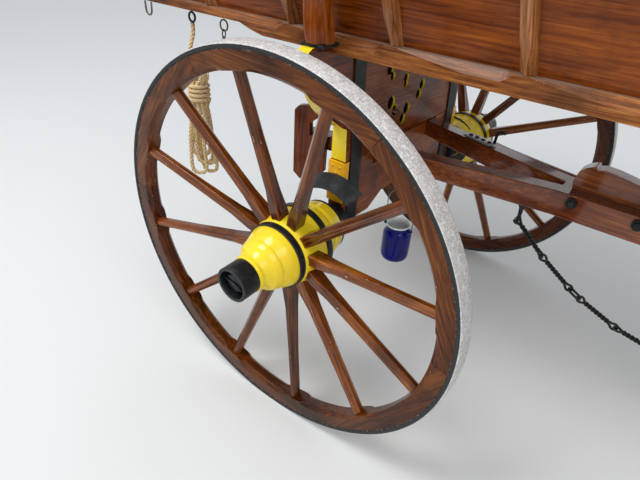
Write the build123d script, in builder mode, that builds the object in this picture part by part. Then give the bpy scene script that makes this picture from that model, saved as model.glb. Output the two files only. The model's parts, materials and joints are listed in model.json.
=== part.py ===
from build123d import *
from math import asin, asinh, cos, degrees, radians, sin, sinh, sqrt, tan
import os

# Four-wheeled farm hay wagon, in millimetres.
# X runs forward along the wagon, Y to its left, Z up from the ground.
# The origin is on the ground at the middle of the length, pole included.

os.makedirs("parts", exist_ok=True)

# Running gear
wheelbase = 2492.0
rear_wheel_r = 650.0
front_wheel_r = 540.0
half_track = 779.0  # wagon centre to the outer tyre edge at axle height
camber = 1.94  # the top of each wheel leans out by this many degrees

# Wheels
tyre_width = 59.0
tyre_thick = 14.0
tyre_corner = 3.0
felloe_depth = 58.0
felloe_inset = 2.0  # felloe face behind the tyre's edge
felloe_gap = 0.8  # open joint between two felloes
felloe_chamfer = 14.0
spoke_shoulder = 4.2  # degrees of square felloe left beside a spoke
joint_shoulder = 3.2  # degrees of square felloe left beside a joint
spoke_foot_r = 99.0  # wheel radius where a spoke's foot ends in its mortise
spoke_foot_inset = 108.0  # foot centre behind the outer tyre edge
spoke_foot_width = 38.0
spoke_foot_depth = 68.0
seat_gap = 0.3  # clearance of pieces fitted into each other
run_gap = 0.3  # clearance of the turning fits

# Hub, measured outward from the outer tyre edge along the axle
nose_end = 147.0
nose_recess = 42.0
nose_band_r = 57.0
nose_band_wall = 10.0
nose_band_length = 64.0
spoke_band = (-37.0, 24.0, 112.5)  # start, width, outer radius
inner_band = (-156.0, 23.0, 128.0)
band_thick = 5.0
hub_rear = -281.0
rear_ring = (-281.0, 9.0, 92.0)
nose_turning = (
    # behind the nose band's step, radius
    (0.0, 59.0),
    (12.0, 62.0),
    (14.0, 57.0),
    (22.0, 60.0),
    (44.0, 73.0),
    (48.0, 79.0),
    (68.0, 89.0),
    (71.0, 84.0),
    (78.0, 90.0),
)
middle_turning = (
    # behind the spoke band, radius above the first or below the second band's seat
    (4.0, 6.0),
    (34.0, 1.0),
)
rear_turning = (
    # behind the inner band, radius
    (3.0, 118.0),
    (36.0, 109.0),
    (52.0, 98.0),
    (62.0, 101.0),
    (70.0, 97.0),
)
hub_cut_r = 145.0  # mortises are cut from outside this radius

# Axle arms
arm_root_r = 34.0
arm_tip_r = 28.0
arm_taper_start = 20.0
arm_end = 128.0
collar_r = 42.0
collar_start = 108.0
collar_thick = 9.0
root_collar_r = 50.0
rear_ring_clear = 6.0
arm_thread_r = 23.0
shank_size = 38.0
shank_length = 230.0

# Axle beds and bolsters
bed_thick = 60.0
bed_offset = -10.0  # the bed's middle lies this far behind the axle
bed_half = 412.0
bed_below_axle = 25.0
bed_arch_rise = 47.0
bed_arch_half = 150.0
bed_foot_half = 235.0
rear_bed_top = 870.0
front_bed_top = 740.0
bolster_gap = 3.0
board_rake = 0.05  # the bolster's front face leans back by this slope
board_flare_z = 985.0
flare_low = (450.0, 1006.0)  # y and z along the hollow under the flare
flare_mid = (500.0, 1045.0)
flare_belly = (562.0, 1112.0)
flare_lip = (596.0, 1195.0)
board_knob = ((608.0, 1216.0), (612.0, 1236.0), (606.0, 1253.0), (590.0, 1262.0))
board_shoulder = 587.0  # the posts' seat ends here
end_plate_thick = 10.0
end_plate_wrap = 20.0  # the plates reach round the bed's corners
end_plate_cheek = 3.0
end_plate_rise = 58.0  # plate foot above the arm's middle at the bed end

# Leather guards behind the hubs
flap_length = 62.0
flap_root_r = 165.0
flap_tip_r = 134.0
flap_thick = 5.0
flap_first = 50.0  # degrees
flap_last = 125.0

# Straps round bed and bolster
strap_y = 355.0
strap_width = 62.0
strap_thick = 6.0
strap_top = 1205.0

# Body
sill_bottom = 1237.0
sill_top = 1288.0
sill_outer = 500.0
sill_width = 100.0
sill_rear = 860.0  # behind the rear axle
sill_front = 620.0  # ahead of the front axle
sill_tail_bottom = 1262.0
scallop_start = 270.0
scallop_end = 370.0
scallop_bulge = 8.0
tail_cut = 18.0
tail_rise = 12.0
tail_ease = 6.0
chamfer_in = 17.0  # stopped chamfers along the sill's upper edge, between the stakes
chamfer_down = 25.0
chamfer_stop = 20.0  # from a stake's middle
chamfer_run = 190.0  # its long tapering end
chamfer_end = 35.0  # its short end
chamfer_tip = 0.08  # share of the full chamfer left at its very end
panel_foot = 470.0
panel_thick = 22.0
panel_lean = 12.0
board_height = 216.0
board_joint = 2.0
board_rows = 2
panel_inset = 60.0  # panel ends inside the sill ends
rail_height = 46.0
rail_width = 56.0
floor_thick = 25.0
floor_board_count = 5
floor_joint = 2.0
bearer_width = 70.0
stake_pitch = 356.0
stake_width = 45.0
stake_thick = 28.0
stake_first = -521.0  # from the rear axle
stake_count = 10
stake_foot_face = 3.0  # the outer face narrows to a point at the foot
stake_point = 14.0
stake_waist = 74.0
stake_waist_face = 27.0
stake_top_face = 33.0
stake_rake = 0.16  # the stakes lean back by this slope
end_board_thick = 26.0
end_board_inset = 30.0  # end board inside the panel's end
end_board_clear = 6.0
cleat_size = 24.0
cleat_clear = 3.0

# Main posts at the bolster ends
post_foot_z = 1262.0
post_sections = (
    # height above the foot, width along X, width along Y, corner cut
    (0.0, 86.0, 80.0, 26.0),
    (45.0, 84.0, 78.0, 22.0),
    (150.0, 72.0, 68.0, 16.0),
    (538.0, 60.0, 54.0, 14.0),
)
post_iron_thick = 10.0
post_iron_half = 45.0
post_inset = 3.0  # clear of the sill

# Reach and rear hounds
hound_top = 870.0
hound_width = 62.0
hound_depth = 56.0
hound_deepen = 4.0  # extra depth of a rear hound at the bed's front face
hound_spread = 262.0
hound_tail = 300.0  # behind the rear axle
hound_join = 620.0  # ahead of the rear axle
tongue_half = 76.0
tongue_top = 858.0
tongue_bottom = 770.0
tongue_front = 1790.0
reach_half = 27.0
reach_rear = 650.0
reach_depth = 66.0
reach_nose = (
    # ahead of the reach's rear end, above its top
    (-4.0, -38.0),
    (4.0, -4.0),
    (20.0, 14.0),
    (48.0, 27.0),
    (55.0, 16.0),
    (72.0, 22.0),
    (112.0, 19.0),
    (172.0, 8.0),
    (250.0, 0.0),
)
reach_past = 160.0  # the reach runs this far past the front axle
tongue_bolts = (671.0, 866.0, 1240.0)
bolt_r = 18.0
bolt_head = 9.0
bolt_drop = 26.0  # below the tongue's top

# Upright planks on the hounds' tails, with an open slot for a cross bar
upright_thick = 30.0
upright_outline = (
    # ahead of the rear axle, height
    (-292.0, 708.0),
    (-264.0, 682.0),
    (-194.0, 702.0),
    (-167.0, 734.0),
    (-165.0, 862.0),
    (-193.0, 887.0),
    (-226.0, 866.0),
    (-228.0, 916.0),
    (-187.0, 950.0),
    (-196.0, 974.0),
    (-224.0, 982.0),
    (-276.0, 973.0),
    (-292.0, 955.0),
)

# Turning front carriage
wear_gap = 0.3  # between the wear plate and the reach
wear_plate_thick = 8.0
wear_plate_r = 150.0
kingpin_r = 14.0
kingpin_top = 930.0
kingpin_bottom = 690.0
front_hound_depth = 56.0
front_hound_width = 50.0
front_hound_rear = 450.0
front_hound_front = 670.0
front_spread_rear = 270.0
front_spread_front = 86.0
sway_depth = 49.0
sway_width = 72.0
sway_half = 320.0
pole_hinge_ahead = 620.0

# Pole
pole_length = 2900.0
pole_width = 98.0
pole_height = 90.0
pole_tip_r = 27.0
pole_cap_r = 36.0
pole_cap_length = 140.0
cap_fit_front = 3.2  # the cap's socket round the octagonal tip
cap_fit_rear = 4.5
pole_cap_seat = 36.0  # the pole's wood ends this far short of the tip
evener_ahead = 350.0  # evener bolt hole ahead of the hinge
evener_r = 11.0
pole_pin_r = 12.0
pole_pin_head = 18.0
pole_pin_out = 7.0

# Grease pot
pot_x = 146.0
pot_y = -208.0
pot_r = 54.0
pot_bottom = 448.0
pot_height = 150.0
pot_wall = 2.5
lug_out = 7.0
lug_height = 18.0
lug_drop = 6.0
bail_r = 3.0
bail_clear = 3.5
hook_rise = 14.0
hook_bend = 5.0
bail_top = 735.0
hook_r = 4.0
hook_half = 10.0
hook_drop = 45.0  # below the hounds' top

# Chain under the reach
chain_start_y = -80.0
chain_end_y = -48.0
chain_start_x = 529.0  # ahead of the rear axle
chain_end_x = 1740.0
chain_low = 420.0
chain_sag = 670.0  # the catenary's parameter
twisted_pitch = 148.0
link_order = (1, 1, 0, 1, 1, 0, 1, 1, 0, 1, 1, 0, 0)  # 1 for a twisted link, 0 for a plain one
link_eye = 32.0  # length of a twisted link's eye
shank_wide = 16.0
link_wire = 8.0
link_width = 28.0
link_slack = 1.2
link_inner_corner = 1.5
eye_thick = 8.0
eye_hole_r = 9.5
eye_half = 16.0
eye_corner = 7.0

# Rope hung at the rear
rope_r = 8.0
ring_r = 16.0
ring_wire_r = 4.0
rope_points = (
    # x from the rear axle, y, z
    (-660, -450, 1208),
    (-656, -452, 1175),
    (-662, -462, 1140),
    (-669, -471, 1102),
    (-669, -472, 1062),
)
hank_sections = (
    # height, half width along X, half width along Y
    (1061.5, 34, 40),
    (1040, 54, 42),
    (965, 50, 48),
    (900, 58, 46),
    (800, 74, 48),
    (680, 66, 44),
    (614, 44, 38),
)
hank_x = -657.0  # from the rear axle
hank_y = -446.0
hank_corner = 0.55  # share of the smaller half width cut from each corner

lean = radians(panel_lean)
tilt = radians(camber)

turn_bolster_top = tongue_top - wear_gap - wear_plate_thick

# The pole's slope and the wagon's whole length follow from the parts above.
pole_hinge_z = front_bed_top + seat_gap + front_hound_depth / 2
pole_drop = asin((pole_hinge_z - pole_cap_r) / pole_length)
pole_run = pole_length * cos(pole_drop)
whole_length = sill_rear + wheelbase + pole_hinge_ahead + pole_run + pole_cap_r
rear_x = sill_rear - whole_length / 2
front_x = rear_x + wheelbase
body_rear_x = rear_x - sill_rear + panel_inset
body_front_x = front_x + sill_front - panel_inset
body_top = sill_top + board_rows * board_height + (board_rows - 1) * board_joint
reach_top = tongue_top + reach_depth
post_seat_z = post_foot_z + post_iron_thick


def keep(piece, name):
    """Name a finished piece and write it."""
    piece.part.label = name
    export_step(piece.part, f"parts/{name}.step")


def outline(points):
    """Closed straight-sided face in the open sketch."""
    with BuildLine() as line:
        Polyline(*points, close=True)
    make_face(line.edges())


def bar(low, high):
    """Square bar between two corners, in the open part."""
    with BuildSketch(Plane.XY.offset(low[2])) as base:
        with Locations(((low[0] + high[0]) / 2, (low[1] + high[1]) / 2)):
            Rectangle(high[0] - low[0], high[1] - low[1])
    extrude(base.sketch, amount=high[2] - low[2])


def bar_cut(low, high):
    """Square-sided cut between two corners, in the open part."""
    with BuildSketch(Plane.XY.offset(low[2])) as base:
        with Locations(((low[0] + high[0]) / 2, (low[1] + high[1]) / 2)):
            Rectangle(high[0] - low[0], high[1] - low[1])
    extrude(base.sketch, amount=high[2] - low[2], mode=Mode.SUBTRACT)


def octagon(width, height, corner):
    """Rectangle with cut corners, in the open sketch."""
    a = width / 2
    b = height / 2
    c = corner
    outline([(a - c, b), (a, b - c), (a, c - b), (a - c, -b), (c - a, -b), (-a, c - b), (-a, b - c), (c - a, b)])


# Each wheel has its own axle line, tilted by the camber.

class AxleLine:
    """Axle line of one wheel: origin at the outer tyre edge, pointing outward."""

    def __init__(self, axle_x, side, wheel_r):
        self.side = side
        self.centre = Vector(axle_x, side * half_track, wheel_r * cos(tilt))
        self.out = Vector(0, side * cos(tilt), -sin(tilt))
        self.up = Vector(0, side * sin(tilt), cos(tilt))
        self.axis = Axis(self.centre, self.out * -side)

    def ray(self, angle):
        """Direction across the wheel, with 0 forward and 90 up."""
        return Vector(1, 0, 0) * cos(radians(angle)) + self.up * sin(radians(angle))

    def profile(self, angle=90):
        """Plane through the axle: x along it outward, y along the ray."""
        ray = self.ray(angle)
        return Plane(self.centre, x_dir=self.out, z_dir=self.out.cross(ray))

    def across(self, along):
        """Plane square to the axle at a distance along it."""
        return Plane(self.centre + self.out * along, x_dir=(1, 0, 0), z_dir=self.out)

    def radial(self, angle, radius, along):
        """Plane square to a ray, with x across the spoke and y along the axle."""
        ray = self.ray(angle)
        origin = self.centre + ray * radius + self.out * along
        return Plane(origin, x_dir=self.out.cross(ray), z_dir=ray)


def turned(line, points):
    """Turned solid from (along, radius) points, in the open part."""
    with BuildSketch(line.profile()) as section:
        outline(points)
    revolve(section.sketch, axis=line.axis)


def ring(line, start, width, outer, inner):
    """Plain ring round the axle, in the open part."""
    turned(line, [(start, inner), (start, outer), (start - width, outer), (start - width, inner)])


def hub_profile():
    """Outer line of the turned wooden hub, nose first."""
    band_start, band_width, band_r = spoke_band
    inner_start, inner_width, inner_r = inner_band
    seat_1 = band_r - band_thick - seat_gap
    seat_2 = inner_r - band_thick - seat_gap
    nose_core = nose_band_r - nose_band_wall - seat_gap
    step = nose_end - nose_band_length - seat_gap
    middle_end = band_start - band_width
    inner_end = inner_start - inner_width
    rise, dip = middle_turning
    return [
        (nose_end - nose_recess, nose_core),
        (step, nose_core),
        *[(step - behind, radius) for behind, radius in nose_turning],
        (band_start, seat_1),
        (middle_end, seat_1),
        (middle_end - rise[0], seat_1 + rise[1]),
        (middle_end - dip[0], seat_2 - dip[1]),
        (inner_start, seat_2),
        (inner_end, seat_2),
        *[(inner_end - behind, radius) for behind, radius in rear_turning],
        (hub_rear, rear_ring[2]),
    ]


def arm_taper(clearance):
    """The arm's bearing line as (along, radius) points, root first."""
    return [
        (hub_rear, arm_root_r + clearance),
        (arm_taper_start, arm_root_r + clearance),
        (nose_end - nose_recess, arm_tip_r + clearance),
    ]


spoke_sections = (
    # share of the way out, width, depth, corner cut
    (0.0, spoke_foot_width, spoke_foot_depth, 3.0),
    (0.10, spoke_foot_width, spoke_foot_depth, 3.0),
    (0.24, 37.0, 56.0, 12.0),
    (0.60, 33.0, 40.0, 13.0),
    (1.0, 30.0, 32.0, 10.0),
)


def wheel(name, axle_x, side, wheel_r, spoke_count, phase):
    """One dished wheel as hub, bands, spokes, felloes and tyre."""
    line = AxleLine(axle_x, side, wheel_r)
    felloe_out = wheel_r - tyre_thick
    felloe_in = felloe_out - felloe_depth
    spoke_step = 360.0 / spoke_count
    spoke_end = felloe_in - seat_gap
    rim_middle = -tyre_width / 2

    with BuildPart() as tyre:
        cone = tyre_width * sin(tilt)
        turned(
            line,
            [
                (0, felloe_out),
                (0, wheel_r - tyre_corner),
                (-tyre_corner, wheel_r),
                (tyre_corner - tyre_width, wheel_r + cone),
                (-tyre_width, wheel_r + cone - tyre_corner),
                (-tyre_width, felloe_out),
            ],
        )
    keep(tyre, f"{name}_tyre")

    with BuildPart() as felloes:
        face = -felloe_inset
        back = felloe_inset - tyre_width
        outer = felloe_out - seat_gap
        cut = felloe_chamfer
        gap_angle = degrees(felloe_gap / felloe_out)
        for index in range(spoke_count // 2):
            spoke_1 = phase + spoke_step * 2 * index
            spoke_2 = spoke_1 + spoke_step
            first = spoke_1 - spoke_step / 2
            last = spoke_2 + spoke_step / 2
            with BuildSketch(line.profile(first + gap_angle / 2)):
                outline([(face, felloe_in), (face, outer), (back, outer), (back, felloe_in)])
            revolve(axis=line.axis, revolution_arc=last - first - gap_angle)
            for start, end in (
                (first + joint_shoulder, spoke_1 - spoke_shoulder),
                (spoke_1 + spoke_shoulder, spoke_2 - spoke_shoulder),
                (spoke_2 + spoke_shoulder, last - joint_shoulder),
            ):
                with BuildSketch(line.profile(start)):
                    outline([(face + 1, felloe_in - 1), (face + 1, felloe_in + cut), (face - cut, felloe_in - 1)])
                    outline([(back - 1, felloe_in - 1), (back - 1, felloe_in + cut), (back + cut, felloe_in - 1)])
                revolve(axis=line.axis, revolution_arc=end - start, mode=Mode.SUBTRACT)
    keep(felloes, f"{name}_felloes")

    with BuildPart() as spokes:
        for index in range(spoke_count):
            angle = phase + spoke_step * index
            for share, width, depth, corner in spoke_sections:
                radius = spoke_foot_r + share * (spoke_end - spoke_foot_r)
                along = -spoke_foot_inset + share * (spoke_foot_inset + rim_middle)
                with BuildSketch(line.radial(angle, radius, along)):
                    octagon(width, depth, corner)
            loft(ruled=True)
    keep(spokes, f"{name}_spokes")

    with BuildPart() as hub:
        turned(line, hub_profile() + arm_taper(run_gap))
        for index in range(spoke_count):
            angle = phase + spoke_step * index
            slope = (spoke_foot_inset + rim_middle) / (spoke_end - spoke_foot_r)
            for radius in (spoke_foot_r - seat_gap, hub_cut_r):
                along = slope * (radius - spoke_foot_r) - spoke_foot_inset
                with BuildSketch(line.radial(angle, radius, along)):
                    Rectangle(spoke_foot_width + 2 * seat_gap, spoke_foot_depth + 2 * seat_gap)
            loft(ruled=True, mode=Mode.SUBTRACT)
    keep(hub, f"{name}_hub")

    with BuildPart() as bands:
        ring(line, nose_end, nose_band_length, nose_band_r, nose_band_r - nose_band_wall)
        for start, width, radius in (spoke_band, inner_band):
            ring(line, start, width, radius, radius - band_thick)
        start, width, radius = rear_ring
        ring(line, start - seat_gap, width, radius, root_collar_r + rear_ring_clear)
    keep(bands, f"{name}_bands")


# The root collar stands just clear of the bed's upright end face.
shank_start = (bed_half + root_collar_r * sin(tilt) + seat_gap - half_track) / cos(tilt)
arm_root_drop = (half_track - bed_half) * tan(tilt)


def axle_arms(name, axle_x, wheel_r):
    """Iron stub arms of one axle, one for each side."""
    with BuildPart() as arms:
        for side in (-1, 1):
            line = AxleLine(axle_x, side, wheel_r)
            collar_end = collar_start + collar_thick
            turned(
                line,
                [
                    (shank_start, 0),
                    (shank_start, root_collar_r),
                    (hub_rear - seat_gap, root_collar_r),
                    (hub_rear - seat_gap, arm_root_r),
                    (arm_taper_start, arm_root_r),
                    (nose_end - nose_recess, arm_tip_r),
                    (collar_start, arm_tip_r),
                    (collar_start, collar_r),
                    (collar_end, collar_r),
                    (collar_end, arm_thread_r),
                    (arm_end, arm_thread_r),
                    (arm_end, 0),
                ],
            )
            with BuildSketch(line.across(shank_start - shank_length)):
                Rectangle(shank_size, shank_size)
            extrude(amount=shank_length)
    keep(arms, name)


def arm_mortises(axle_x, wheel_r):
    """Square holes for the arm shanks, cut from the open bed."""
    for side in (-1, 1):
        line = AxleLine(axle_x, side, wheel_r)
        size = shank_size + 2 * seat_gap
        with BuildSketch(line.across(shank_start - shank_length - seat_gap)) as hole:
            Rectangle(size, size)
        extrude(hole.sketch, amount=shank_length + 30, mode=Mode.SUBTRACT)


def axle_bed(name, axle_x, wheel_r, top, notches, pin_depth):
    """Wooden axle bed with an arched belly, notches from above and a hole for a pin."""
    with BuildPart() as bed:
        low = wheel_r - bed_below_axle
        arch = low + bed_arch_rise
        with BuildSketch(Plane.YZ.offset(axle_x + bed_offset - bed_thick / 2)):
            outline(
                [
                    (-bed_half, top),
                    (-bed_half, low),
                    (-bed_foot_half, low),
                    (-bed_arch_half, arch),
                    (bed_arch_half, arch),
                    (bed_foot_half, low),
                    (bed_half, low),
                    (bed_half, top),
                ]
            )
        extrude(amount=bed_thick)
        arm_mortises(axle_x, wheel_r)
        for low_corner, high_corner in notches:
            bar_cut(low_corner, high_corner)
        if pin_depth:
            with BuildSketch(Plane.XY.offset(top - pin_depth)):
                with Locations((axle_x, 0)):
                    Circle(kingpin_r + run_gap)
            extrude(amount=pin_depth + 1, mode=Mode.SUBTRACT)
    keep(bed, name)


bolster_cutouts = (
    # y, z, radius of the main hole, tail y, tail z, radius of the tail
    (-166, 1132, 21, -146, 1104, 15),
    (-50, 1082, 17, -50, 1062, 14),
    (76, 1034, 19, 56, 1000, 19),
    (-144, 1012, 24, -116, 980, 18),
    (-28, 966, 22, -54, 934, 19),
)


flare_reach = max(y for y, z in board_knob) + 1


def rake(height):
    """How far the bolster's front face has leant back at a height above its foot."""
    return height * board_rake


def carved_board(name, axle_x, bottom, cutouts, notches):
    """Tall bolster board with flared ends and pierced ornament."""
    with BuildPart() as board:
        with BuildSketch(Plane.YZ.offset(axle_x + bed_offset - bed_thick / 2)):
            for side in (-1, 1):
                seat_y = side * (sill_outer + seat_gap)
                low, mid, belly, lip = [(side * y, z) for y, z in (flare_low, flare_mid, flare_belly, flare_lip)]
                knob = [(side * y, z) for y, z in board_knob]
                with BuildLine():
                    Polyline((0, sill_bottom), (0, bottom), (side * bed_half, bottom), (side * bed_half, board_flare_z))
                    ThreePointArc((side * bed_half, board_flare_z), low, mid)
                    ThreePointArc(mid, belly, lip)
                    Polyline(
                        lip,
                        *knob,
                        (side * board_shoulder, post_foot_z),
                        (seat_y, post_foot_z),
                        (seat_y, sill_bottom),
                        (0, sill_bottom),
                    )
                make_face()
            for hole_y, hole_z, hole_r, tail_y, tail_z, tail_r in cutouts:
                for y, z, r in ((hole_y, hole_z, hole_r), (tail_y, tail_z, tail_r)):
                    with Locations((y, z)):
                        Circle(r, mode=Mode.SUBTRACT)
        extrude(amount=bed_thick)
        front = axle_x + bed_offset + bed_thick / 2
        with BuildSketch(Plane.XZ.offset(-flare_reach)):
            leant = front - rake(post_seat_z - bottom)
            outline([(front, bottom), (front + 1, bottom), (front + 1, post_seat_z), (leant, post_seat_z)])
        extrude(amount=2 * flare_reach, mode=Mode.SUBTRACT)
        for low_corner, high_corner in notches:
            bar_cut(low_corner, high_corner)
        if notches:
            with BuildSketch(Plane.XY.offset(bottom - 1)):
                with Locations((axle_x, 0)):
                    Circle(kingpin_r + seat_gap)
            extrude(amount=kingpin_top - bottom + 2, mode=Mode.SUBTRACT)
    keep(board, name)


def strap_iron(axle_x, foot, wrapped):
    """Iron straps up both faces of a bolster board from its foot, or wrapped under the bed."""
    front = axle_x + bed_offset + bed_thick / 2
    back = front - bed_thick
    front_top = front - rake(strap_top - foot)
    legs = [
        [
            (front, foot),
            (front_top, strap_top),
            (front_top + strap_thick, strap_top),
            (front + strap_thick, foot),
        ],
        [
            (back, foot),
            (back, strap_top),
            (back - strap_thick, strap_top),
            (back - strap_thick, foot),
        ],
    ]
    for side in (-1, 1):
        with BuildSketch(Plane.XZ.offset(-side * strap_y - strap_width / 2)) as section:
            for leg in legs:
                outline(leg)
            if wrapped:
                low = wrapped - strap_thick
                outline(
                    [
                        (front, foot),
                        (front + strap_thick, foot),
                        (front + strap_thick, low),
                        (back - strap_thick, low),
                        (back - strap_thick, foot),
                        (back, foot),
                        (back, wrapped),
                        (front, wrapped),
                    ]
                )
        extrude(section.sketch, amount=strap_width)
        with BuildSketch(Plane.XY.offset(post_foot_z)) as plate:
            y_1 = side * (sill_outer + seat_gap)
            y_2 = side * board_shoulder
            with Locations((axle_x + bed_offset, (y_1 + y_2) / 2)):
                Rectangle(2 * post_iron_half, abs(y_2 - y_1))
        extrude(plate.sketch, amount=post_iron_thick)


def end_plates(name, axle_x, wheel_r, top):
    """Plates on the end faces of a bed, reaching round its upright corners."""
    with BuildPart() as plates:
        back = axle_x + bed_offset - bed_thick / 2
        front = back + bed_thick
        cheek = end_plate_cheek
        low = wheel_r + arm_root_drop + end_plate_rise
        for side in (-1, 1):
            inner = side * (bed_half - end_plate_wrap)
            end = side * bed_half
            outer = side * (bed_half + end_plate_thick)
            with BuildSketch(Plane.XY.offset(low)) as section:
                outline(
                    [
                        (back - cheek, inner),
                        (back - cheek, outer),
                        (front + cheek, outer),
                        (front + cheek, inner),
                        (front, inner),
                        (front, end),
                        (back, end),
                        (back, inner),
                    ]
                )
            extrude(section.sketch, amount=top - low)
    keep(plates, name)


def mud_flaps(name, axle_x, wheel_r):
    """Arched leather guards behind the hubs, on the beds' end plates."""
    with BuildPart() as flaps:
        for side in (-1, 1):
            line = AxleLine(axle_x, side, wheel_r)
            root = seat_gap - (half_track - bed_half - end_plate_thick) / cos(tilt) - flap_root_r * sin(tilt)
            tip = root + flap_length
            with BuildSketch(line.profile(flap_first)):
                outline(
                    [
                        (root, flap_root_r - flap_thick),
                        (root, flap_root_r),
                        (tip, flap_tip_r),
                        (tip, flap_tip_r - flap_thick),
                    ]
                )
            revolve(axis=line.axis, revolution_arc=flap_last - flap_first)
    keep(flaps, name)


def post_pair(axle_x):
    """Main posts standing on the ends of a bolster, leaning with the sides."""
    for side in (-1, 1):
        sections = []
        for height, size_x, size_y, corner in post_sections:
            z = post_seat_z + height
            inner_y = sill_outer + seat_gap + post_inset + (z - post_foot_z) * tan(lean)
            with BuildSketch(Plane((axle_x + bed_offset, side * (inner_y + size_y / 2), z))) as section:
                octagon(size_x, size_y, corner)
            sections.append(section.sketch)
        loft(sections, ruled=True)


# Rear running gear
tail_x = rear_x - hound_tail
join_x = rear_x + hound_join
join_y = tongue_half - hound_width / 2


def hound_centre_y(x):
    """Distance of a rear hound's middle from the wagon's middle."""
    share = (x - tail_x) / (join_x - tail_x)
    return hound_spread + share * (join_y - hound_spread)


bed_back_x = rear_x + bed_offset - bed_thick / 2
bed_front_x = bed_back_x + bed_thick
notch_low = hound_centre_y(bed_front_x) - hound_width / 2 - 2
notch_high = hound_centre_y(bed_back_x) + hound_width / 2 + 2
notch_depth = hound_depth + hound_deepen + seat_gap
rear_notches = [
    ((bed_back_x - 1, -notch_high, hound_top - notch_depth), (bed_front_x + 1, -notch_low, hound_top + 1)),
    ((bed_back_x - 1, notch_low, hound_top - notch_depth), (bed_front_x + 1, notch_high, hound_top + 1)),
]

axle_bed("rear_axle_bed", rear_x, rear_wheel_r, rear_bed_top, rear_notches, 0)
axle_arms("rear_axle_arms", rear_x, rear_wheel_r)
carved_board("rear_bolster_board", rear_x, rear_bed_top + bolster_gap, bolster_cutouts, [])
with BuildPart() as bolster_straps:
    strap_iron(rear_x, rear_bed_top + bolster_gap, rear_wheel_r - bed_below_axle)
    strap_iron(front_x, tongue_top, 0)
keep(bolster_straps, "bolster_straps")
end_plates("rear_end_plates", rear_x, rear_wheel_r, rear_bed_top)
mud_flaps("rear_mud_flaps", rear_x, rear_wheel_r)

with BuildPart() as main_posts:
    post_pair(rear_x)
    post_pair(front_x)
keep(main_posts, "main_posts")

hound_sections = (
    # x, top, depth
    (tail_x, hound_top, hound_depth),
    (bed_front_x, hound_top, hound_depth + hound_deepen),
    (join_x, tongue_top, tongue_top - tongue_bottom),
)
with BuildPart() as rear_hounds:
    for side in (-1, 1):
        for x, top, depth in hound_sections:
            with BuildSketch(Plane.YZ.offset(x)):
                with Locations((side * hound_centre_y(x), top - depth / 2)):
                    Rectangle(hound_width, depth)
        loft(ruled=True)
    bar((join_x, -tongue_half, tongue_bottom), (rear_x + tongue_front, tongue_half, tongue_top))
keep(rear_hounds, "rear_hounds")

hound_slope = (hound_spread - join_y) / (join_x - tail_x)
hound_turn = sqrt(1 + hound_slope**2)
with BuildPart() as rear_uprights:
    for side in (-1, 1):
        face_y = side * (hound_centre_y(rear_x) + hound_width / 2)
        along = Vector(1, -side * hound_slope, 0) / hound_turn
        outward = Vector(hound_slope, side, 0) / hound_turn
        face_plane = Plane((rear_x, face_y, 0), x_dir=along, z_dir=outward)
        drawn = [(x * hound_turn, -side * z) for x, z in upright_outline]
        with BuildSketch(face_plane):
            outline(drawn)
        extrude(amount=upright_thick)
keep(rear_uprights, "rear_uprights")

reach_front = front_x + reach_past
with BuildPart() as reach:
    start_x = rear_x + reach_rear
    nose = [(start_x + ahead, reach_top + rise) for ahead, rise in reach_nose]
    with BuildSketch(Plane.XZ.offset(-reach_half)):
        outline([(start_x, tongue_top), *nose, (reach_front, reach_top), (reach_front, tongue_top)])
    extrude(amount=2 * reach_half)
    with BuildSketch(Plane.XY.offset(tongue_top - 1)):
        with Locations((front_x, 0)):
            Circle(kingpin_r + seat_gap)
    extrude(amount=reach_depth + 2, mode=Mode.SUBTRACT)
keep(reach, "reach")

# Turning front carriage
front_low = front_bed_top + seat_gap
front_tail_x = front_x - front_hound_rear
front_nose_x = front_x + front_hound_front


def front_hound_y(x):
    """Distance of a front hound's middle from the wagon's middle."""
    share = (x - front_tail_x) / (front_nose_x - front_tail_x)
    return front_spread_rear + share * (front_spread_front - front_spread_rear)


axle_bed("front_axle_bed", front_x, front_wheel_r, front_bed_top, [], front_bed_top - kingpin_bottom + seat_gap)
axle_arms("front_axle_arms", front_x, front_wheel_r)
end_plates("front_end_plates", front_x, front_wheel_r, front_bed_top)
mud_flaps("front_mud_flaps", front_x, front_wheel_r)

front_back_x = front_x + bed_offset - bed_thick / 2
front_face_x = front_back_x + bed_thick
gap_low = front_hound_y(front_face_x) - front_hound_width / 2 - 2
gap_high = front_hound_y(front_back_x) + front_hound_width / 2 + 2
slot_top = front_low + front_hound_depth

with BuildPart() as turning_bolster:
    bar((front_back_x, -bed_half, front_low), (front_face_x, bed_half, turn_bolster_top))
    for side in (-1, 1):
        y_1, y_2 = sorted((side * gap_low, side * gap_high))
        bar_cut((front_back_x - 1, y_1, front_low - 1), (front_face_x + 1, y_2, slot_top))
    with BuildSketch(Plane.XY.offset(front_low - 1)):
        with Locations((front_x, 0)):
            Circle(kingpin_r + run_gap)
    extrude(amount=turn_bolster_top - front_low + 2, mode=Mode.SUBTRACT)
keep(turning_bolster, "turning_bolster")

with BuildPart() as wear_plate:
    with BuildSketch(Plane.XY.offset(turn_bolster_top)):
        with Locations((front_x + bed_offset, 0)):
            Rectangle(bed_thick, 2 * bed_half - 40)
        with Locations((front_x, 0)):
            Circle(wear_plate_r)
            Circle(kingpin_r + run_gap, mode=Mode.SUBTRACT)
    extrude(amount=wear_plate_thick)
keep(wear_plate, "wear_plate")

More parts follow.
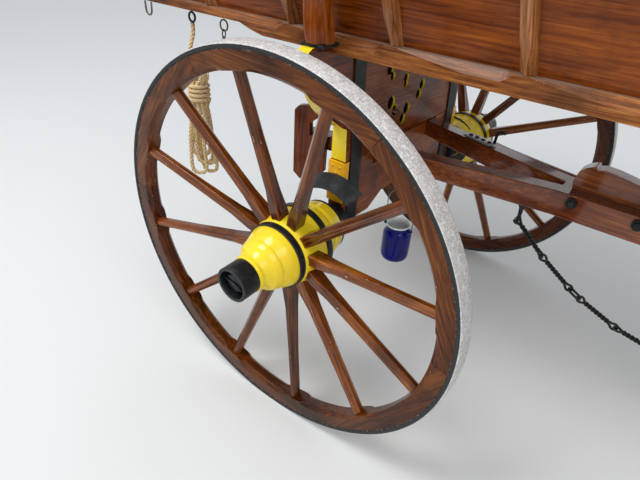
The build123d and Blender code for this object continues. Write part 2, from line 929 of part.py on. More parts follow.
with BuildPart() as front_hounds:
    for side in (-1, 1):
        for x in (front_tail_x, front_nose_x):
            with BuildSketch(Plane.YZ.offset(x)):
                with Locations((side * front_hound_y(x), front_low + front_hound_depth / 2)):
                    Rectangle(front_hound_width, front_hound_depth)
        loft(ruled=True)
    hinge_x = front_x + pole_hinge_ahead
    with BuildSketch(Plane.XZ.offset(-front_spread_rear)):
        with Locations((hinge_x, pole_hinge_z)):
            Circle(pole_pin_r + seat_gap)
    extrude(amount=2 * front_spread_rear, mode=Mode.SUBTRACT)
keep(front_hounds, "front_hounds")

with BuildPart() as sway_bar:
    bar(
        (front_tail_x, -sway_half, slot_top),
        (front_tail_x + sway_width, sway_half, slot_top + sway_depth),
    )
keep(sway_bar, "sway_bar")

with BuildPart() as kingpin:
    with BuildSketch(Plane.XY.offset(kingpin_bottom)):
        with Locations((front_x, 0)):
            Circle(kingpin_r)
    extrude(amount=kingpin_top - kingpin_bottom)
keep(kingpin, "kingpin")

reach_slot = [
    (
        (front_back_x - 1, -reach_half - seat_gap, tongue_top - 1),
        (front_face_x + 1, reach_half + seat_gap, reach_top + seat_gap),
    )
]
carved_board("front_bolster_board", front_x, tongue_top, bolster_cutouts[:-1], reach_slot)

# Pole
pole_dir = Vector(cos(pole_drop), 0, -sin(pole_drop))
hinge_point = Vector(front_x + pole_hinge_ahead, 0, pole_hinge_z)
tip_point = hinge_point + pole_dir * pole_length
pole_sections = (
    # distance ahead of the hinge, width, height, corner cut
    (-50.0, pole_width - 12, pole_height - 14, 22.0),
    (0.0, pole_width, pole_height, 8.0),
    (420.0, pole_width, pole_height, 8.0),
    (640.0, 84.0, 84.0, 24.0),
    (pole_length - pole_cap_seat, 2 * pole_tip_r, 2 * pole_tip_r, 15.0),
)

with BuildPart() as pole:
    for ahead, width, height, corner in pole_sections:
        with BuildSketch(Plane(hinge_point + pole_dir * ahead, x_dir=(0, 1, 0), z_dir=pole_dir)):
            octagon(width, height, corner)
    loft(ruled=True)
    with BuildSketch(Plane.XZ.offset(-pole_width)):
        with Locations((hinge_point.X, hinge_point.Z)):
            Circle(pole_pin_r + run_gap)
    extrude(amount=2 * pole_width, mode=Mode.SUBTRACT)
    pole_up = Vector(sin(pole_drop), 0, cos(pole_drop))
    evener_point = hinge_point + pole_dir * evener_ahead
    with BuildSketch(Plane(evener_point - pole_up * pole_height, x_dir=(0, 1, 0), z_dir=pole_up)):
        Circle(evener_r)
    extrude(amount=2 * pole_height, mode=Mode.SUBTRACT)
keep(pole, "pole")

with BuildPart() as pole_cap:
    cap_plane = Plane(tip_point, x_dir=pole_dir * -1, z_dir=(0, -1, 0))
    bend = cos(radians(45))
    with BuildSketch(cap_plane):
        with BuildLine():
            ThreePointArc((-pole_cap_r, 0), (-pole_cap_r * bend, pole_cap_r * bend), (0, pole_cap_r))
            Polyline(
                (0, pole_cap_r),
                (pole_cap_length, pole_cap_r - 1),
                (pole_cap_length, pole_tip_r + cap_fit_rear),
                (pole_cap_seat - seat_gap, pole_tip_r + cap_fit_front),
                (pole_cap_seat - seat_gap, 0),
                (-pole_cap_r, 0),
            )
        make_face()
    revolve(axis=Axis(tip_point, pole_dir))
keep(pole_cap, "pole_cap")

with BuildPart() as pole_pin:
    pin_y = front_hound_y(front_x + pole_hinge_ahead) + front_hound_width / 2 + pole_pin_out
    with BuildSketch(Plane.XZ.offset(-pin_y)):
        with Locations((hinge_point.X, hinge_point.Z)):
            Circle(pole_pin_r)
    extrude(amount=2 * pin_y)
    for side in (-1, 1):
        with BuildSketch(Plane.XZ.offset(-side * (pin_y + pole_pin_out))):
            with Locations((hinge_point.X, hinge_point.Z)):
                Circle(pole_pin_head)
        extrude(amount=side * pole_pin_out)
keep(pole_pin, "pole_pin")

# Body
inner_half = sill_outer - sill_width
panel_deep = panel_thick / cos(lean)
stake_deep = stake_thick / cos(lean)


def side_y(off, z):
    """Distance from the middle of a point lying off the panel's outer face at height z."""
    return panel_foot + off + (z - sill_top) * tan(lean)


def leaning(span_x, span_off, span_z):
    """A bar on each side, leaning with it, in the open part."""
    corners = ((0, 0), (1, 0), (1, 1), (0, 1))
    for side in (-1, 1):
        with BuildSketch(Plane.YZ.offset(span_x[0])) as section:
            outline([(side * side_y(span_off[a], span_z[b]), span_z[b]) for a, b in corners])
        extrude(section.sketch, amount=span_x[1] - span_x[0])


sill_rear_x = rear_x - sill_rear
sill_front_x = front_x + sill_front
scallop_middle = (scallop_start + scallop_end) / 2 - scallop_bulge
stake_xs = [rear_x + stake_first + index * stake_pitch for index in range(stake_count)]
with BuildPart() as sills:
    for sill_y in (-inner_half, sill_outer):
        with BuildSketch(Plane.XZ.offset(-sill_y)):
            with BuildLine():
                Polyline(
                    (rear_x - scallop_end, sill_tail_bottom),
                    (sill_rear_x + tail_cut, sill_tail_bottom),
                    (sill_rear_x, sill_tail_bottom + tail_rise),
                    (sill_rear_x, sill_top - tail_ease),
                    (sill_rear_x + tail_ease, sill_top),
                    (sill_front_x - tail_ease, sill_top),
                    (sill_front_x, sill_top - tail_ease),
                    (sill_front_x, sill_tail_bottom + tail_rise),
                    (sill_front_x - tail_cut, sill_tail_bottom),
                    (front_x + scallop_end, sill_tail_bottom),
                )
                ThreePointArc(
                    (front_x + scallop_end, sill_tail_bottom),
                    (front_x + scallop_middle, sill_bottom + scallop_bulge),
                    (front_x + scallop_start, sill_bottom),
                )
                Line((front_x + scallop_start, sill_bottom), (rear_x - scallop_start, sill_bottom))
                ThreePointArc(
                    (rear_x - scallop_start, sill_bottom),
                    (rear_x - scallop_middle, sill_bottom + scallop_bulge),
                    (rear_x - scallop_end, sill_tail_bottom),
                )
            make_face()
        extrude(amount=sill_width)
    for start, end in zip(stake_xs, stake_xs[1:]):
        for side in (-1, 1):
            for x, size in (
                (start + chamfer_stop, chamfer_tip),
                (start + chamfer_stop + chamfer_run, 1.0),
                (end - chamfer_stop - chamfer_end, 1.0),
                (end - chamfer_stop, chamfer_tip),
            ):
                with BuildSketch(Plane.YZ.offset(x)):
                    outline(
                        [
                            (side * (sill_outer - chamfer_in * size), sill_top),
                            (side * (sill_outer + 1), sill_top + 1),
                            (side * sill_outer, sill_top - chamfer_down * size),
                        ]
                    )
            loft(ruled=True, mode=Mode.SUBTRACT)
keep(sills, "sills")

with BuildPart() as side_boards:
    for row in range(board_rows):
        low = sill_top + row * (board_height + board_joint)
        leaning((body_rear_x, body_front_x), (-panel_deep, 0), (low, low + board_height))
keep(side_boards, "side_boards")

with BuildPart() as stakes:
    for x in stake_xs:
        for side in (-1, 1):
            sections = []
            for z, face in (
                (sill_top, stake_foot_face),
                (sill_top + stake_point, stake_foot_face),
                (sill_top + stake_waist, stake_waist_face),
                (body_top, stake_top_face),
            ):
                inner = side * side_y(seat_gap, z)
                outer = side * side_y(seat_gap + stake_deep, z)
                middle = x - stake_rake * (z - sill_top)
                with BuildSketch(Plane.XY.offset(z)) as section:
                    outline(
                        [
                            (middle - stake_width / 2, inner),
                            (middle + stake_width / 2, inner),
                            (middle + face / 2, outer),
                            (middle - face / 2, outer),
                        ]
                    )
                sections.append(section.sketch)
            loft(sections, ruled=True)
keep(stakes, "stakes")

with BuildPart() as top_rails:
    leaning((body_rear_x, body_front_x), (-panel_deep, rail_width - panel_deep), (body_top, body_top + rail_height))
keep(top_rails, "top_rails")

with BuildPart() as tail_cleats:
    board_x = body_rear_x + end_board_inset
    for low in (board_x - cleat_clear - cleat_size, board_x + end_board_thick + cleat_clear):
        leaning((low, low + cleat_size), (-panel_deep - cleat_size, -panel_deep), (sill_top, body_top))
keep(tail_cleats, "tail_cleats")

# The floor runs between two end bearers, which carry the end boards.
floor_rear_x = body_rear_x + end_board_inset + end_board_thick
floor_front_x = body_front_x - end_board_inset - end_board_thick
with BuildPart() as floor_boards:
    board_width = (2 * inner_half - (floor_board_count - 1) * floor_joint) / floor_board_count
    for index in range(floor_board_count):
        y_1 = -inner_half + index * (board_width + floor_joint)
        bar((floor_rear_x, y_1, sill_top - floor_thick), (floor_front_x, y_1 + board_width, sill_top))
keep(floor_boards, "floor_boards")

with BuildPart() as floor_bearers:
    bearer_low = sill_bottom
    for bearer_x in (
        rear_x - scallop_start - bearer_width,
        rear_x + bed_offset,
        rear_x + wheelbase / 3,
        rear_x + 2 * wheelbase / 3,
        front_x + bed_offset,
        front_x + scallop_start + bearer_width,
    ):
        bar(
            (bearer_x - bearer_width / 2, -inner_half, bearer_low),
            (bearer_x + bearer_width / 2, inner_half, sill_top - floor_thick),
        )
    for end_low, end_high in ((body_rear_x, floor_rear_x), (floor_front_x, body_front_x)):
        bar((end_low, -inner_half, bearer_low), (end_high, inner_half, sill_top))
keep(floor_bearers, "floor_bearers")


def end_board(name, x, bottom, clear):
    """Cross board between the leaning sides."""
    with BuildPart() as board:
        top = body_top
        foot = side_y(-panel_deep - clear, bottom)
        head = side_y(-panel_deep - clear, top)
        with BuildSketch(Plane.YZ.offset(x)):
            outline([(-foot, bottom), (foot, bottom), (head, top), (-head, top)])
        extrude(amount=end_board_thick)
    keep(board, name)


end_board("front_board", floor_front_x, sill_top, seat_gap)
end_board("tail_board", body_rear_x + end_board_inset, sill_top + seat_gap, end_board_clear)

# Grease pot on its hook under the near hound
pot_centre = (rear_x + pot_x, pot_y)
pot_top = pot_bottom + pot_height
with BuildPart() as grease_pot:
    with BuildSketch(Plane.XY.offset(pot_bottom)):
        with Locations(pot_centre):
            Circle(pot_r)
    extrude(amount=pot_height)
    with BuildSketch(Plane.XY.offset(pot_bottom + pot_wall)):
        with Locations(pot_centre):
            Circle(pot_r - pot_wall)
    extrude(amount=pot_height, mode=Mode.SUBTRACT)
    for side in (-1, 1):
        x_1, x_2 = sorted((side * (pot_r - 1), side * (pot_r + lug_out)))
        bar(
            (pot_centre[0] + x_1, pot_y - lug_out, pot_top - lug_drop - lug_height),
            (pot_centre[0] + x_2, pot_y + lug_out, pot_top - lug_drop),
        )
keep(grease_pot, "grease_pot")

with BuildPart() as pot_bail:
    bail_half = pot_r + bail_clear
    bail_foot = pot_top - lug_drop
    bend_z = bail_top + bail_r + seat_gap - bail_half
    with BuildLine(Plane.XZ.offset(-pot_y)):
        Line((pot_centre[0] - bail_half, bail_foot), (pot_centre[0] - bail_half, bend_z))
        ThreePointArc(
            (pot_centre[0] - bail_half, bend_z),
            (pot_centre[0], bend_z + bail_half),
            (pot_centre[0] + bail_half, bend_z),
        )
        Line((pot_centre[0] + bail_half, bend_z), (pot_centre[0] + bail_half, bail_foot))
    with BuildSketch(Plane((pot_centre[0] - bail_half, pot_y, bail_foot), x_dir=(1, 0, 0), z_dir=(0, 0, 1))):
        Circle(bail_r)
    sweep()
keep(pot_bail, "pot_bail")

# Chain: its links follow a catenary between two eye plates.
chain_run = Vector(chain_end_x - chain_start_x, chain_end_y - chain_start_y, 0)
chain_middle = Vector(rear_x + (chain_start_x + chain_end_x) / 2, (chain_start_y + chain_end_y) / 2, 0)
chain_way = chain_run.normalized()
chain_side = Vector(-chain_way.Y, chain_way.X, 0)
chain_arc = 2 * chain_sag * sinh(chain_run.length / 2 / chain_sag)
plain_pitch = (chain_arc - link_order.count(1) * twisted_pitch) / link_order.count(0)


def chain_point(s):
    """Point on the chain at arc length s from its lowest point."""
    z = chain_low + sqrt(chain_sag**2 + s**2) - chain_sag
    return chain_middle + chain_way * (chain_sag * asinh(s / chain_sag)) + Vector(0, 0, z)


with BuildPart() as chain:
    start_s = -chain_arc / 2
    for index, twisted in enumerate(link_order):
        pitch = twisted_pitch if twisted else plain_pitch
        start = chain_point(start_s)
        start_s += pitch
        chord = chain_point(start_s) - start
        point = start + chord / 2
        along = chord.normalized()
        across = chain_side.cross(along)
        normal = across if index % 2 == 0 else chain_side
        link_outer = chord.length + 2 * link_wire + link_slack
        with BuildSketch(Plane(point - normal * (link_wire / 2), x_dir=along, z_dir=normal)) as link:
            octagon(link_outer, link_width, link_wire)
            with BuildLine():
                a = link_outer / 2 - link_wire
                b = link_width / 2 - link_wire
                c = link_inner_corner
                Polyline(
                    (a - c, b), (a, b - c), (a, c - b), (a - c, -b),
                    (c - a, -b), (-a, c - b), (-a, b - c), (c - a, b),
                    close=True,
                )
            make_face(mode=Mode.SUBTRACT)
            if twisted:
                shank = link_outer - 2 * link_eye
                Rectangle(shank, link_width, mode=Mode.SUBTRACT)
                Rectangle(shank + 1, shank_wide)
        extrude(link.sketch, amount=link_wire)
keep(chain, "chain")


def underside_z(x):
    """Height of the underside of the rear hounds and tongue."""
    share = min(1, (x - bed_front_x) / (join_x - bed_front_x))
    low = hound_top - hound_depth - hound_deepen
    return low + share * (tongue_bottom - low)


hook_top = hound_top - hook_drop
hook_face = hound_centre_y(rear_x + pot_x) + hound_width / 2 + hook_r * hound_slope
with BuildPart() as reach_irons:
    for bolt_x in tongue_bolts:
        for side in (-1, 1):
            face_y = side * (tongue_half + bolt_head)
            with BuildSketch(Plane.XZ.offset(-face_y)):
                with Locations((rear_x + bolt_x, tongue_top - bolt_drop)):
                    Circle(bolt_r)
            extrude(amount=side * bolt_head)
    end_z = chain_point(chain_arc / 2).Z
    for eye_x, eye_y in ((rear_x + chain_start_x, chain_start_y), (rear_x + chain_end_x, chain_end_y)):
        with BuildSketch(Plane.XZ.offset(-eye_y - eye_thick / 2)):
            outline(
                [
                    (eye_x - eye_half, underside_z(eye_x - eye_half)),
                    (eye_x - eye_half, end_z - eye_corner),
                    (eye_x - eye_corner, end_z - eye_half),
                    (eye_x + eye_corner, end_z - eye_half),
                    (eye_x + eye_half, end_z - eye_corner),
                    (eye_x + eye_half, underside_z(eye_x + eye_half)),
                ]
            )
            with Locations((eye_x, end_z)):
                Circle(eye_hole_r, mode=Mode.SUBTRACT)
        extrude(amount=eye_thick)
    with BuildLine() as hook_line:
        FilletPolyline(
            (rear_x + pot_x, -hook_face, hook_top),
            (rear_x + pot_x, pot_y + hook_half, hook_top),
            (rear_x + pot_x, pot_y + hook_half, bail_top - hook_r),
            (rear_x + pot_x, pot_y - hook_half, bail_top - hook_r),
            (rear_x + pot_x, pot_y - hook_half, bail_top + hook_rise),
            radius=hook_bend,
        )
    hook_root = Plane((rear_x + pot_x, -hook_face, hook_top), x_dir=(1, 0, 0), z_dir=(0, -1, 0))
    with BuildSketch(hook_root) as hook_end:
        Circle(hook_r)
    sweep(hook_end.sketch, path=hook_line.line)
keep(reach_irons, "reach_irons")

# Rope on its ring under the rear of the right sill
ring_x = rear_x + rope_points[0][0]
ring_y = rope_points[0][1]
ring_z = rope_points[0][2] + seat_gap + ring_r + ring_wire_r
with BuildPart() as rope_ring:
    with BuildSketch(Plane((ring_x, ring_y, ring_z))):
        with Locations((ring_r, 0)):
            Circle(ring_wire_r)
    revolve(axis=Axis((ring_x, ring_y, ring_z), (0, 1, 0)))
    with BuildSketch(Plane.XY.offset(ring_z + ring_r)):
        with Locations((ring_x, ring_y)):
            Circle(ring_wire_r)
    extrude(amount=sill_tail_bottom - ring_z - ring_r)
keep(rope_ring, "rope_ring")

with BuildPart() as rope_drop:
    route = [Vector(rear_x + x, y, z) for x, y, z in rope_points]
    radii = []
    for before, corner, after in zip(route, route[1:], route[2:]):
        turn = (corner - before).get_angle(after - corner)
        run = min((corner - before).length, (after - corner).length)
        radii.append(0.45 * run / tan(radians(turn) / 2))
    with BuildLine():
        FilletPolyline(*route, radius=radii)
    with BuildSketch(Plane(route[0], z_dir=route[1] - route[0])):
        Circle(rope_r)
    sweep()
keep(rope_drop, "rope_drop")
print("rope radii", [round(r) for r in radii])

with BuildPart() as rope_hank:
    for z, half_x, half_y in hank_sections:
        with BuildSketch(Plane((rear_x + hank_x, hank_y, z))):
            octagon(2 * half_x, 2 * half_y, min(half_x, half_y) * hank_corner)
    loft(ruled=True)
keep(rope_hank, "rope_hank")

wheel_table = (
    # name, axle, side, radius, spokes, angle of the first spoke
    ("rear_right_wheel", rear_x, -1, rear_wheel_r, 12, 10.0),
    ("rear_left_wheel", rear_x, 1, rear_wheel_r, 12, 22.0),
    ("front_right_wheel", front_x, -1, front_wheel_r, 10, 4.0),
    ("front_left_wheel", front_x, 1, front_wheel_r, 10, 20.0),
)
for wheel_name, wheel_x, wheel_side, wheel_radius, spokes_in_wheel, first_angle in wheel_table:
    wheel(wheel_name, wheel_x, wheel_side, wheel_radius, spokes_in_wheel, first_angle)
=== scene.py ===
# %% [markdown]
# # A varnished hay wagon, dressed in Blender
# The wagon comes in as a fixed frame of plain solids, one for every piece of wood or iron. This file gives each of
# them its finish: eased corners, wood grain that runs along each piece, paint, worn iron, rope and chain. Everything is
# in metres, in the frame of the solids, so nothing has to be fitted.

# %% Load the frame
import json
import random
from functools import partial
from math import asinh, atan2, cos, degrees, pi, radians, sin, sinh, sqrt, tau

import bmesh
import bpy
import numpy as np
from mathutils import Matrix, Vector


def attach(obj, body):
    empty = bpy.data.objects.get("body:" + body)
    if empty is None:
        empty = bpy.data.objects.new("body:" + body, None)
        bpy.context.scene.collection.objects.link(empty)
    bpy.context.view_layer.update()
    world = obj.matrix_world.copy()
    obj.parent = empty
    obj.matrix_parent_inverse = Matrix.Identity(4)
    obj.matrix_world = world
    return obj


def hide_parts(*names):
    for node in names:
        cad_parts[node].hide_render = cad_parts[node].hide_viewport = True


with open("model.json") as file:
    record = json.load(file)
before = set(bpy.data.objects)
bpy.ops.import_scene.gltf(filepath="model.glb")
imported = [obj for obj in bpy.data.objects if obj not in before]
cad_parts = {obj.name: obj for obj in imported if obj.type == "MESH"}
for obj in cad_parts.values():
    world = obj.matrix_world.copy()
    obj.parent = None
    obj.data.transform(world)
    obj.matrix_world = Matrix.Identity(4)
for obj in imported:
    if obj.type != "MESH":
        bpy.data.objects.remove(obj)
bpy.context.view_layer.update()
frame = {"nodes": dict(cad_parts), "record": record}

record = frame["record"]
body_of_node = {node: body for body, nodes in record["behaviour"]["bodies"].items() for node in nodes}
slot_of_node = {entry["node"]: entry["material_slot"] for entry in record["subparts"]}
joint_place = {joint["name"]: joint.get("pos_m") for joint in record["behaviour"]["joints"]}
rear_x = joint_place["rear_right_wheel_turn"][0]
front_x = joint_place["front_right_wheel_turn"][0]
print("nodes", len(frame["nodes"]), "rear axle", rear_x, "front axle", front_x)


def placed(name, data):
    """A new object at the origin, linked to the scene."""
    made = bpy.data.objects.new(name, data)
    bpy.context.scene.collection.objects.link(made)
    return made


def from_rear(along, across, high):
    """A point by its distance from the rear axle along the wagon, from its middle and from the ground."""
    return Vector((rear_x + along, across, high))


# %% [markdown]
# ## The camera
# The camera stands beside the rear wheel and looks down, as the photo does. Its place and turn were fitted to the two
# rear wheels, so they are plain numbers here: the right, up and forward directions and the place.

# %% Camera
camera = placed("camera", bpy.data.cameras.new("camera"))
look_right = Vector((0.7854, 0.6169, 0.0514))
look_up = Vector((-0.3718, 0.4036, 0.836))
look_ahead = Vector((-0.495, 0.6757, -0.5463))
camera.matrix_world = Matrix((look_right, look_up, -look_ahead)).transposed().to_4x4()
camera.location = (-1.636, -1.7448, 1.6045)
camera.data.lens = 29.44
camera.data.sensor_width = 36
camera.data.clip_start = 0.05
bpy.context.scene.camera = camera
bpy.context.scene.view_settings.view_transform = "Standard"

# %% [markdown]
# ## The rope
# A laid rope of three strands hangs from a ring under the sill and is put up in a hank: five long loops, held by nearly
# four turns round their waist. One smooth spline carries the whole rope. Its points follow the route of the solid rope,
# and the loops are more points of the same spline, from a short table, each a little different as hands leave them.

# %% The rope's line
hank_x = rear_x - 0.657
hank_y = -0.446
rope_route = [
    (rear_x - 0.66, -0.45, 1.208), (rear_x - 0.656, -0.452, 1.175), (rear_x - 0.662, -0.462, 1.14),
    (rear_x - 0.669, -0.471, 1.102), (rear_x - 0.669, -0.472, 1.062), (rear_x - 0.668, -0.466, 1.02),
]
loops = [
    # depth in the hank, half width at the waist, at the belly, height of the bottom, half width of the top, lean
    (-0.02, 0.008, 0.03, 0.634, 0.04, -0.026),
    (-0.01, 0.02, 0.034, 0.668, 0.043, 0.02),
    (0.000, 0.01, 0.028, 0.622, 0.039, 0.03),
    (0.01, 0.021, 0.036, 0.69, 0.042, -0.018),
    (0.02, 0.009, 0.031, 0.65, 0.04, 0.006),
]


def in_hank(across, deep, high, lean):
    """A point of the hank: below its waist the loops twist, open and lean their own ways."""
    down = max(0.0, 0.93 - high)
    angle = radians(190 * down)
    across += lean * down / 0.3
    deep *= 1 + 2.4 * down
    return (
        hank_x + across * cos(angle) - deep * sin(angle),
        hank_y + across * sin(angle) * 0.8 + deep * cos(angle),
        high,
    )


over = ((0.1, 1.0, 1.018), (0.3, 0.78, 1.048), (0.5, 0.0, 1.062), (0.7, -0.78, 1.047), (0.9, -1.0, 1.017))
for number, (deep, waist, belly, bottom, top, lean) in enumerate(loops):
    down = [(-waist, 0.995), (-waist, 0.932), (-belly * 0.72, 0.87), (-belly, 0.79), (-belly * 1.05, bottom + 0.075)]
    turn = [(-belly * 1.12, bottom + 0.032), (-belly * 0.8, bottom + 0.003)]
    turn += [(belly * 0.8, bottom), (belly * 1.12, bottom + 0.03)]
    up = [(belly * 1.02, bottom + 0.072), (belly * 0.96, 0.8), (belly * 0.68, 0.872), (waist, 0.934), (waist, 0.992)]
    rope_route += [in_hank(across, deep, high, lean) for across, high in down + turn + up]
    if number < len(loops) - 1:
        onward = loops[number + 1][0] - deep
        rope_route += [(hank_x + top * across, hank_y + deep + share * onward, high) for share, across, high in over]
lead = ((0.006, 0.023, 1.016), (-0.004, 0.031, 1.04), (-0.022, 0.037, 1.049), (-0.04, 0.028, 1.038))
rope_route += [(hank_x + across, hank_y + deep, high) for across, deep, high in lead + ((-0.046, 0.008, 1.018),)]
waist_turns = 3.7
turn_points = 12
turn_drop = 0.0172
for step in range(int(waist_turns * turn_points)):
    angle = radians(200 + 360 * step / turn_points)
    high = 0.992 - turn_drop * step / turn_points + 0.004 * cos(angle)
    rope_route.append((hank_x + 0.0375 * cos(angle), hank_y + 0.0365 * sin(angle), high))
last = rope_route[-1]
tail = ((-0.016, 0.012, 0.012), (-0.032, 0.016, 0.032), (-0.04, 0.014, 0.064), (-0.04, 0.01, 0.1))
rope_route += [(last[0] + across, last[1] + deep, last[2] - down) for across, deep, down in tail]


def smooth_line(name, points):
    """Points read from the smooth NURBS spline through a route."""
    curve = bpy.data.curves.new(name, "CURVE")
    curve.dimensions = "3D"
    spline = curve.splines.new("NURBS")
    spline.points.add(len(points) - 1)
    for place, point in zip(spline.points, points):
        place.co = (*point, 1)
    spline.order_u = 3
    spline.use_endpoint_u = True
    spline.resolution_u = 10
    holder = placed(name, curve)
    read = bpy.data.meshes.new_from_object(holder)
    line = [vertex.co.copy() for vertex in read.vertices]
    bpy.data.objects.remove(holder)
    return line


rope_line = smooth_line("rope_line", rope_route)
rope_length = sum((b - a).length for a, b in zip(rope_line, rope_line[1:]))
print("rope", len(rope_route), "route points,", round(rope_length, 3), "m long")

# %% [markdown]
# ## Small tools for finishes
# A finish is a tree of nodes. These helpers keep each one short: noise stretched along the grain, a ramp of tones, a
# mix, a bit of arithmetic. What is the same all over a surface is set on the shader's own sockets.

# %% Node helpers
finishes = {}


class Finish:
    """One material and short ways to grow its node tree."""

    def __init__(self, name, roughness=0.5, metallic=0.0, coat=0.0, coat_roughness=0.1, specular=0.5):
        self.material = bpy.data.materials.new(name)
        self.material.use_nodes = True
        self.tree = self.material.node_tree
        self.shader = self.tree.nodes["Principled BSDF"]
        values = {"Roughness": roughness, "Metallic": metallic, "Specular IOR Level": specular}
        for key, value in {**values, "Coat Weight": coat, "Coat Roughness": coat_roughness}.items():
            self.shader.inputs[key].default_value = value
        finishes[name] = self

    def node(self, kind, **settings):
        made = self.tree.nodes.new(kind)
        for key, value in settings.items():
            setattr(made, key, value)
        return made

    def put(self, socket, value):
        if isinstance(value, bpy.types.NodeSocket):
            self.tree.links.new(value, socket)
        elif isinstance(value, (tuple, list)) and len(value) == 3 and socket.type == "RGBA":
            socket.default_value = (*value, 1)
        else:
            socket.default_value = value

    def attribute(self, name, kind="Vector"):
        return self.node("ShaderNodeAttribute", attribute_name=name).outputs[kind]

    def place(self):
        return self.node("ShaderNodeTexCoord").outputs["Object"]

    def stretched(self, vector, scale):
        mapping = self.node("ShaderNodeMapping")
        self.put(mapping.inputs["Vector"], vector)
        mapping.inputs["Scale"].default_value = scale
        return mapping.outputs["Vector"]

    def noise(self, vector, scale, detail=2.0, rough=0.5, bend=0.0):
        made = self.node("ShaderNodeTexNoise")
        self.put(made.inputs["Vector"], vector)
        for key, value in (("Scale", scale), ("Detail", detail), ("Roughness", rough), ("Distortion", bend)):
            made.inputs[key].default_value = value
        return made.outputs["Fac"]

    def maths(self, kind, first, second=0.5, third=0.5):
        made = self.node("ShaderNodeMath", operation=kind)
        for socket, value in zip(made.inputs, (first, second, third)):
            self.put(socket, value)
        return made.outputs[0]

    def times(self, first, second):
        return self.maths("MULTIPLY", first, second)

    def between(self, value, low, high, to_low=0.0, to_high=1.0):
        made = self.node("ShaderNodeMapRange")
        for socket, part in zip(made.inputs, (value, low, high, to_low, to_high)):
            self.put(socket, part)
        return made.outputs[0]

    def ramp(self, value, stops):
        made = self.node("ShaderNodeValToRGB")
        self.put(made.inputs[0], value)
        band = made.color_ramp
        while len(band.elements) < len(stops):
            band.elements.new(0.5)
        for element, (place, colour) in zip(band.elements, stops):
            element.position = place
            element.color = (*colour, 1)
        return made.outputs["Color"]

    def mix(self, share, first, second):
        made = self.node("ShaderNodeMix", data_type="RGBA")
        self.put(made.inputs[0], share)
        self.put(made.inputs[6], first)
        self.put(made.inputs[7], second)
        return made.outputs[2]

    def colour(self, value):
        self.put(self.shader.inputs["Base Color"], value)

    def roughness(self, value):
        self.put(self.shader.inputs["Roughness"], value)

    def bump(self, height, strength, distance):
        made = self.node("ShaderNodeBump")
        made.inputs["Strength"].default_value = strength
        made.inputs["Distance"].default_value = distance
        self.put(made.inputs["Height"], height)
        self.put(self.shader.inputs["Normal"], made.outputs[0])

    def facing_up(self, low, high):
        normal = self.node("ShaderNodeNewGeometry").outputs["Normal"]
        split = self.node("ShaderNodeSeparateXYZ")
        self.put(split.inputs[0], normal)
        return self.between(split.outputs[2], low, high)


# %% [markdown]
# ## Varnished wood
# The real wagon is oiled and varnished hardwood: dark growth bands that wander along each board, fine streaks, short
# dark pores, and broad patches where the varnish has gone deep red or bright orange. Its edges are chipped pale and
# dust lies on the ledges. Every eased edge is also painted a little lighter, a painted highlight where light catches
# it.
# The pattern reads an attribute called grain, which every piece carries: metres along the piece, across it and through
# it, with an offset of its own, so no two boards match and the grain turns with a wheel.

# %% Wood finish
def varnished_wood(name, dark, deep, warm, light, coat=0.16, gloss=0.24, dust=0.0, chips=0.6, figure=0.1, fine=1.0):
    """Wood with growth bands, streaks, pores, patches, worn edges and a painted edge highlight under varnish."""
    wood = Finish(name, roughness=gloss, coat=coat, coat_roughness=0.07, specular=0.2)
    grain = wood.attribute("grain")
    growth = wood.noise(wood.stretched(grain, (0.075, 1.0, 1.0)), 24.0 * fine, 3.0, 0.5, 0.3)
    band = wood.between(wood.maths("PINGPONG", wood.times(growth, 9.0), 0.5), 0.02, 0.42)
    streak = wood.noise(wood.stretched(grain, (0.028, 1.0, 1.0)), 150.0 * fine, 5.0, 0.68)
    patch = wood.noise(wood.stretched(grain, (0.28, 1.0, 1.0)), 7.5, 3.0, 0.55, 0.2)
    own = wood.attribute("own", "Fac")
    tone = wood.maths("MULTIPLY_ADD", band, figure, wood.times(streak, 0.74))
    tone = wood.maths("MULTIPLY_ADD", patch, 0.54, tone)
    tone = wood.maths("MULTIPLY_ADD", own, 0.13, wood.maths("SUBTRACT", tone, 0.25))
    shade = wood.ramp(tone, [(0.24, dark), (0.39, deep), (0.56, warm), (0.76, light)])
    pores = wood.noise(wood.stretched(grain, (0.05, 1.0, 1.0)), 640.0, 2.0, 0.5)
    shade = wood.mix(wood.between(pores, 0.58, 0.7, 0.0, 0.6), shade, dark)
    edge = wood.attribute("edge", "Fac")
    worn = wood.noise(grain, 95.0, 3.0, 0.6)
    where = wood.noise(grain, 13.0, 2.0, 0.5)
    chip = wood.times(edge, wood.between(worn, 0.6, 0.66))
    chip = wood.times(chip, wood.between(where, 0.52, 0.6, 0.0, chips))
    grime = wood.between(wood.noise(wood.place(), 5.5, 4.0, 0.6), 0.5, 0.68, 0.0, 0.62)
    shade = wood.mix(grime, shade, dark)
    # Painted highlight: every bevelled edge is mixed a little towards the light tone.
    shade = wood.mix(wood.times(edge, 0.16), shade, light)
    shade = wood.mix(chip, shade, (0.62, 0.46, 0.3))
    rough = wood.between(patch, 0.3, 0.7, gloss - 0.06, gloss + 0.12)
    if dust:
        lying = wood.between(wood.noise(grain, 22.0, 4.0, 0.65), 0.3, 0.62, 0.45, 1.0)
        lying = wood.times(wood.facing_up(0.55, 0.95), lying)
        shade = wood.mix(wood.times(lying, dust), shade, (0.225, 0.165, 0.125))
        rough = wood.maths("MULTIPLY_ADD", lying, 0.42 * dust, rough)
    wood.colour(shade)
    wood.roughness(rough)
    wood.bump(wood.maths("MULTIPLY_ADD", streak, 0.6, wood.times(band, 0.4)), 0.3, 0.0012)
    return wood


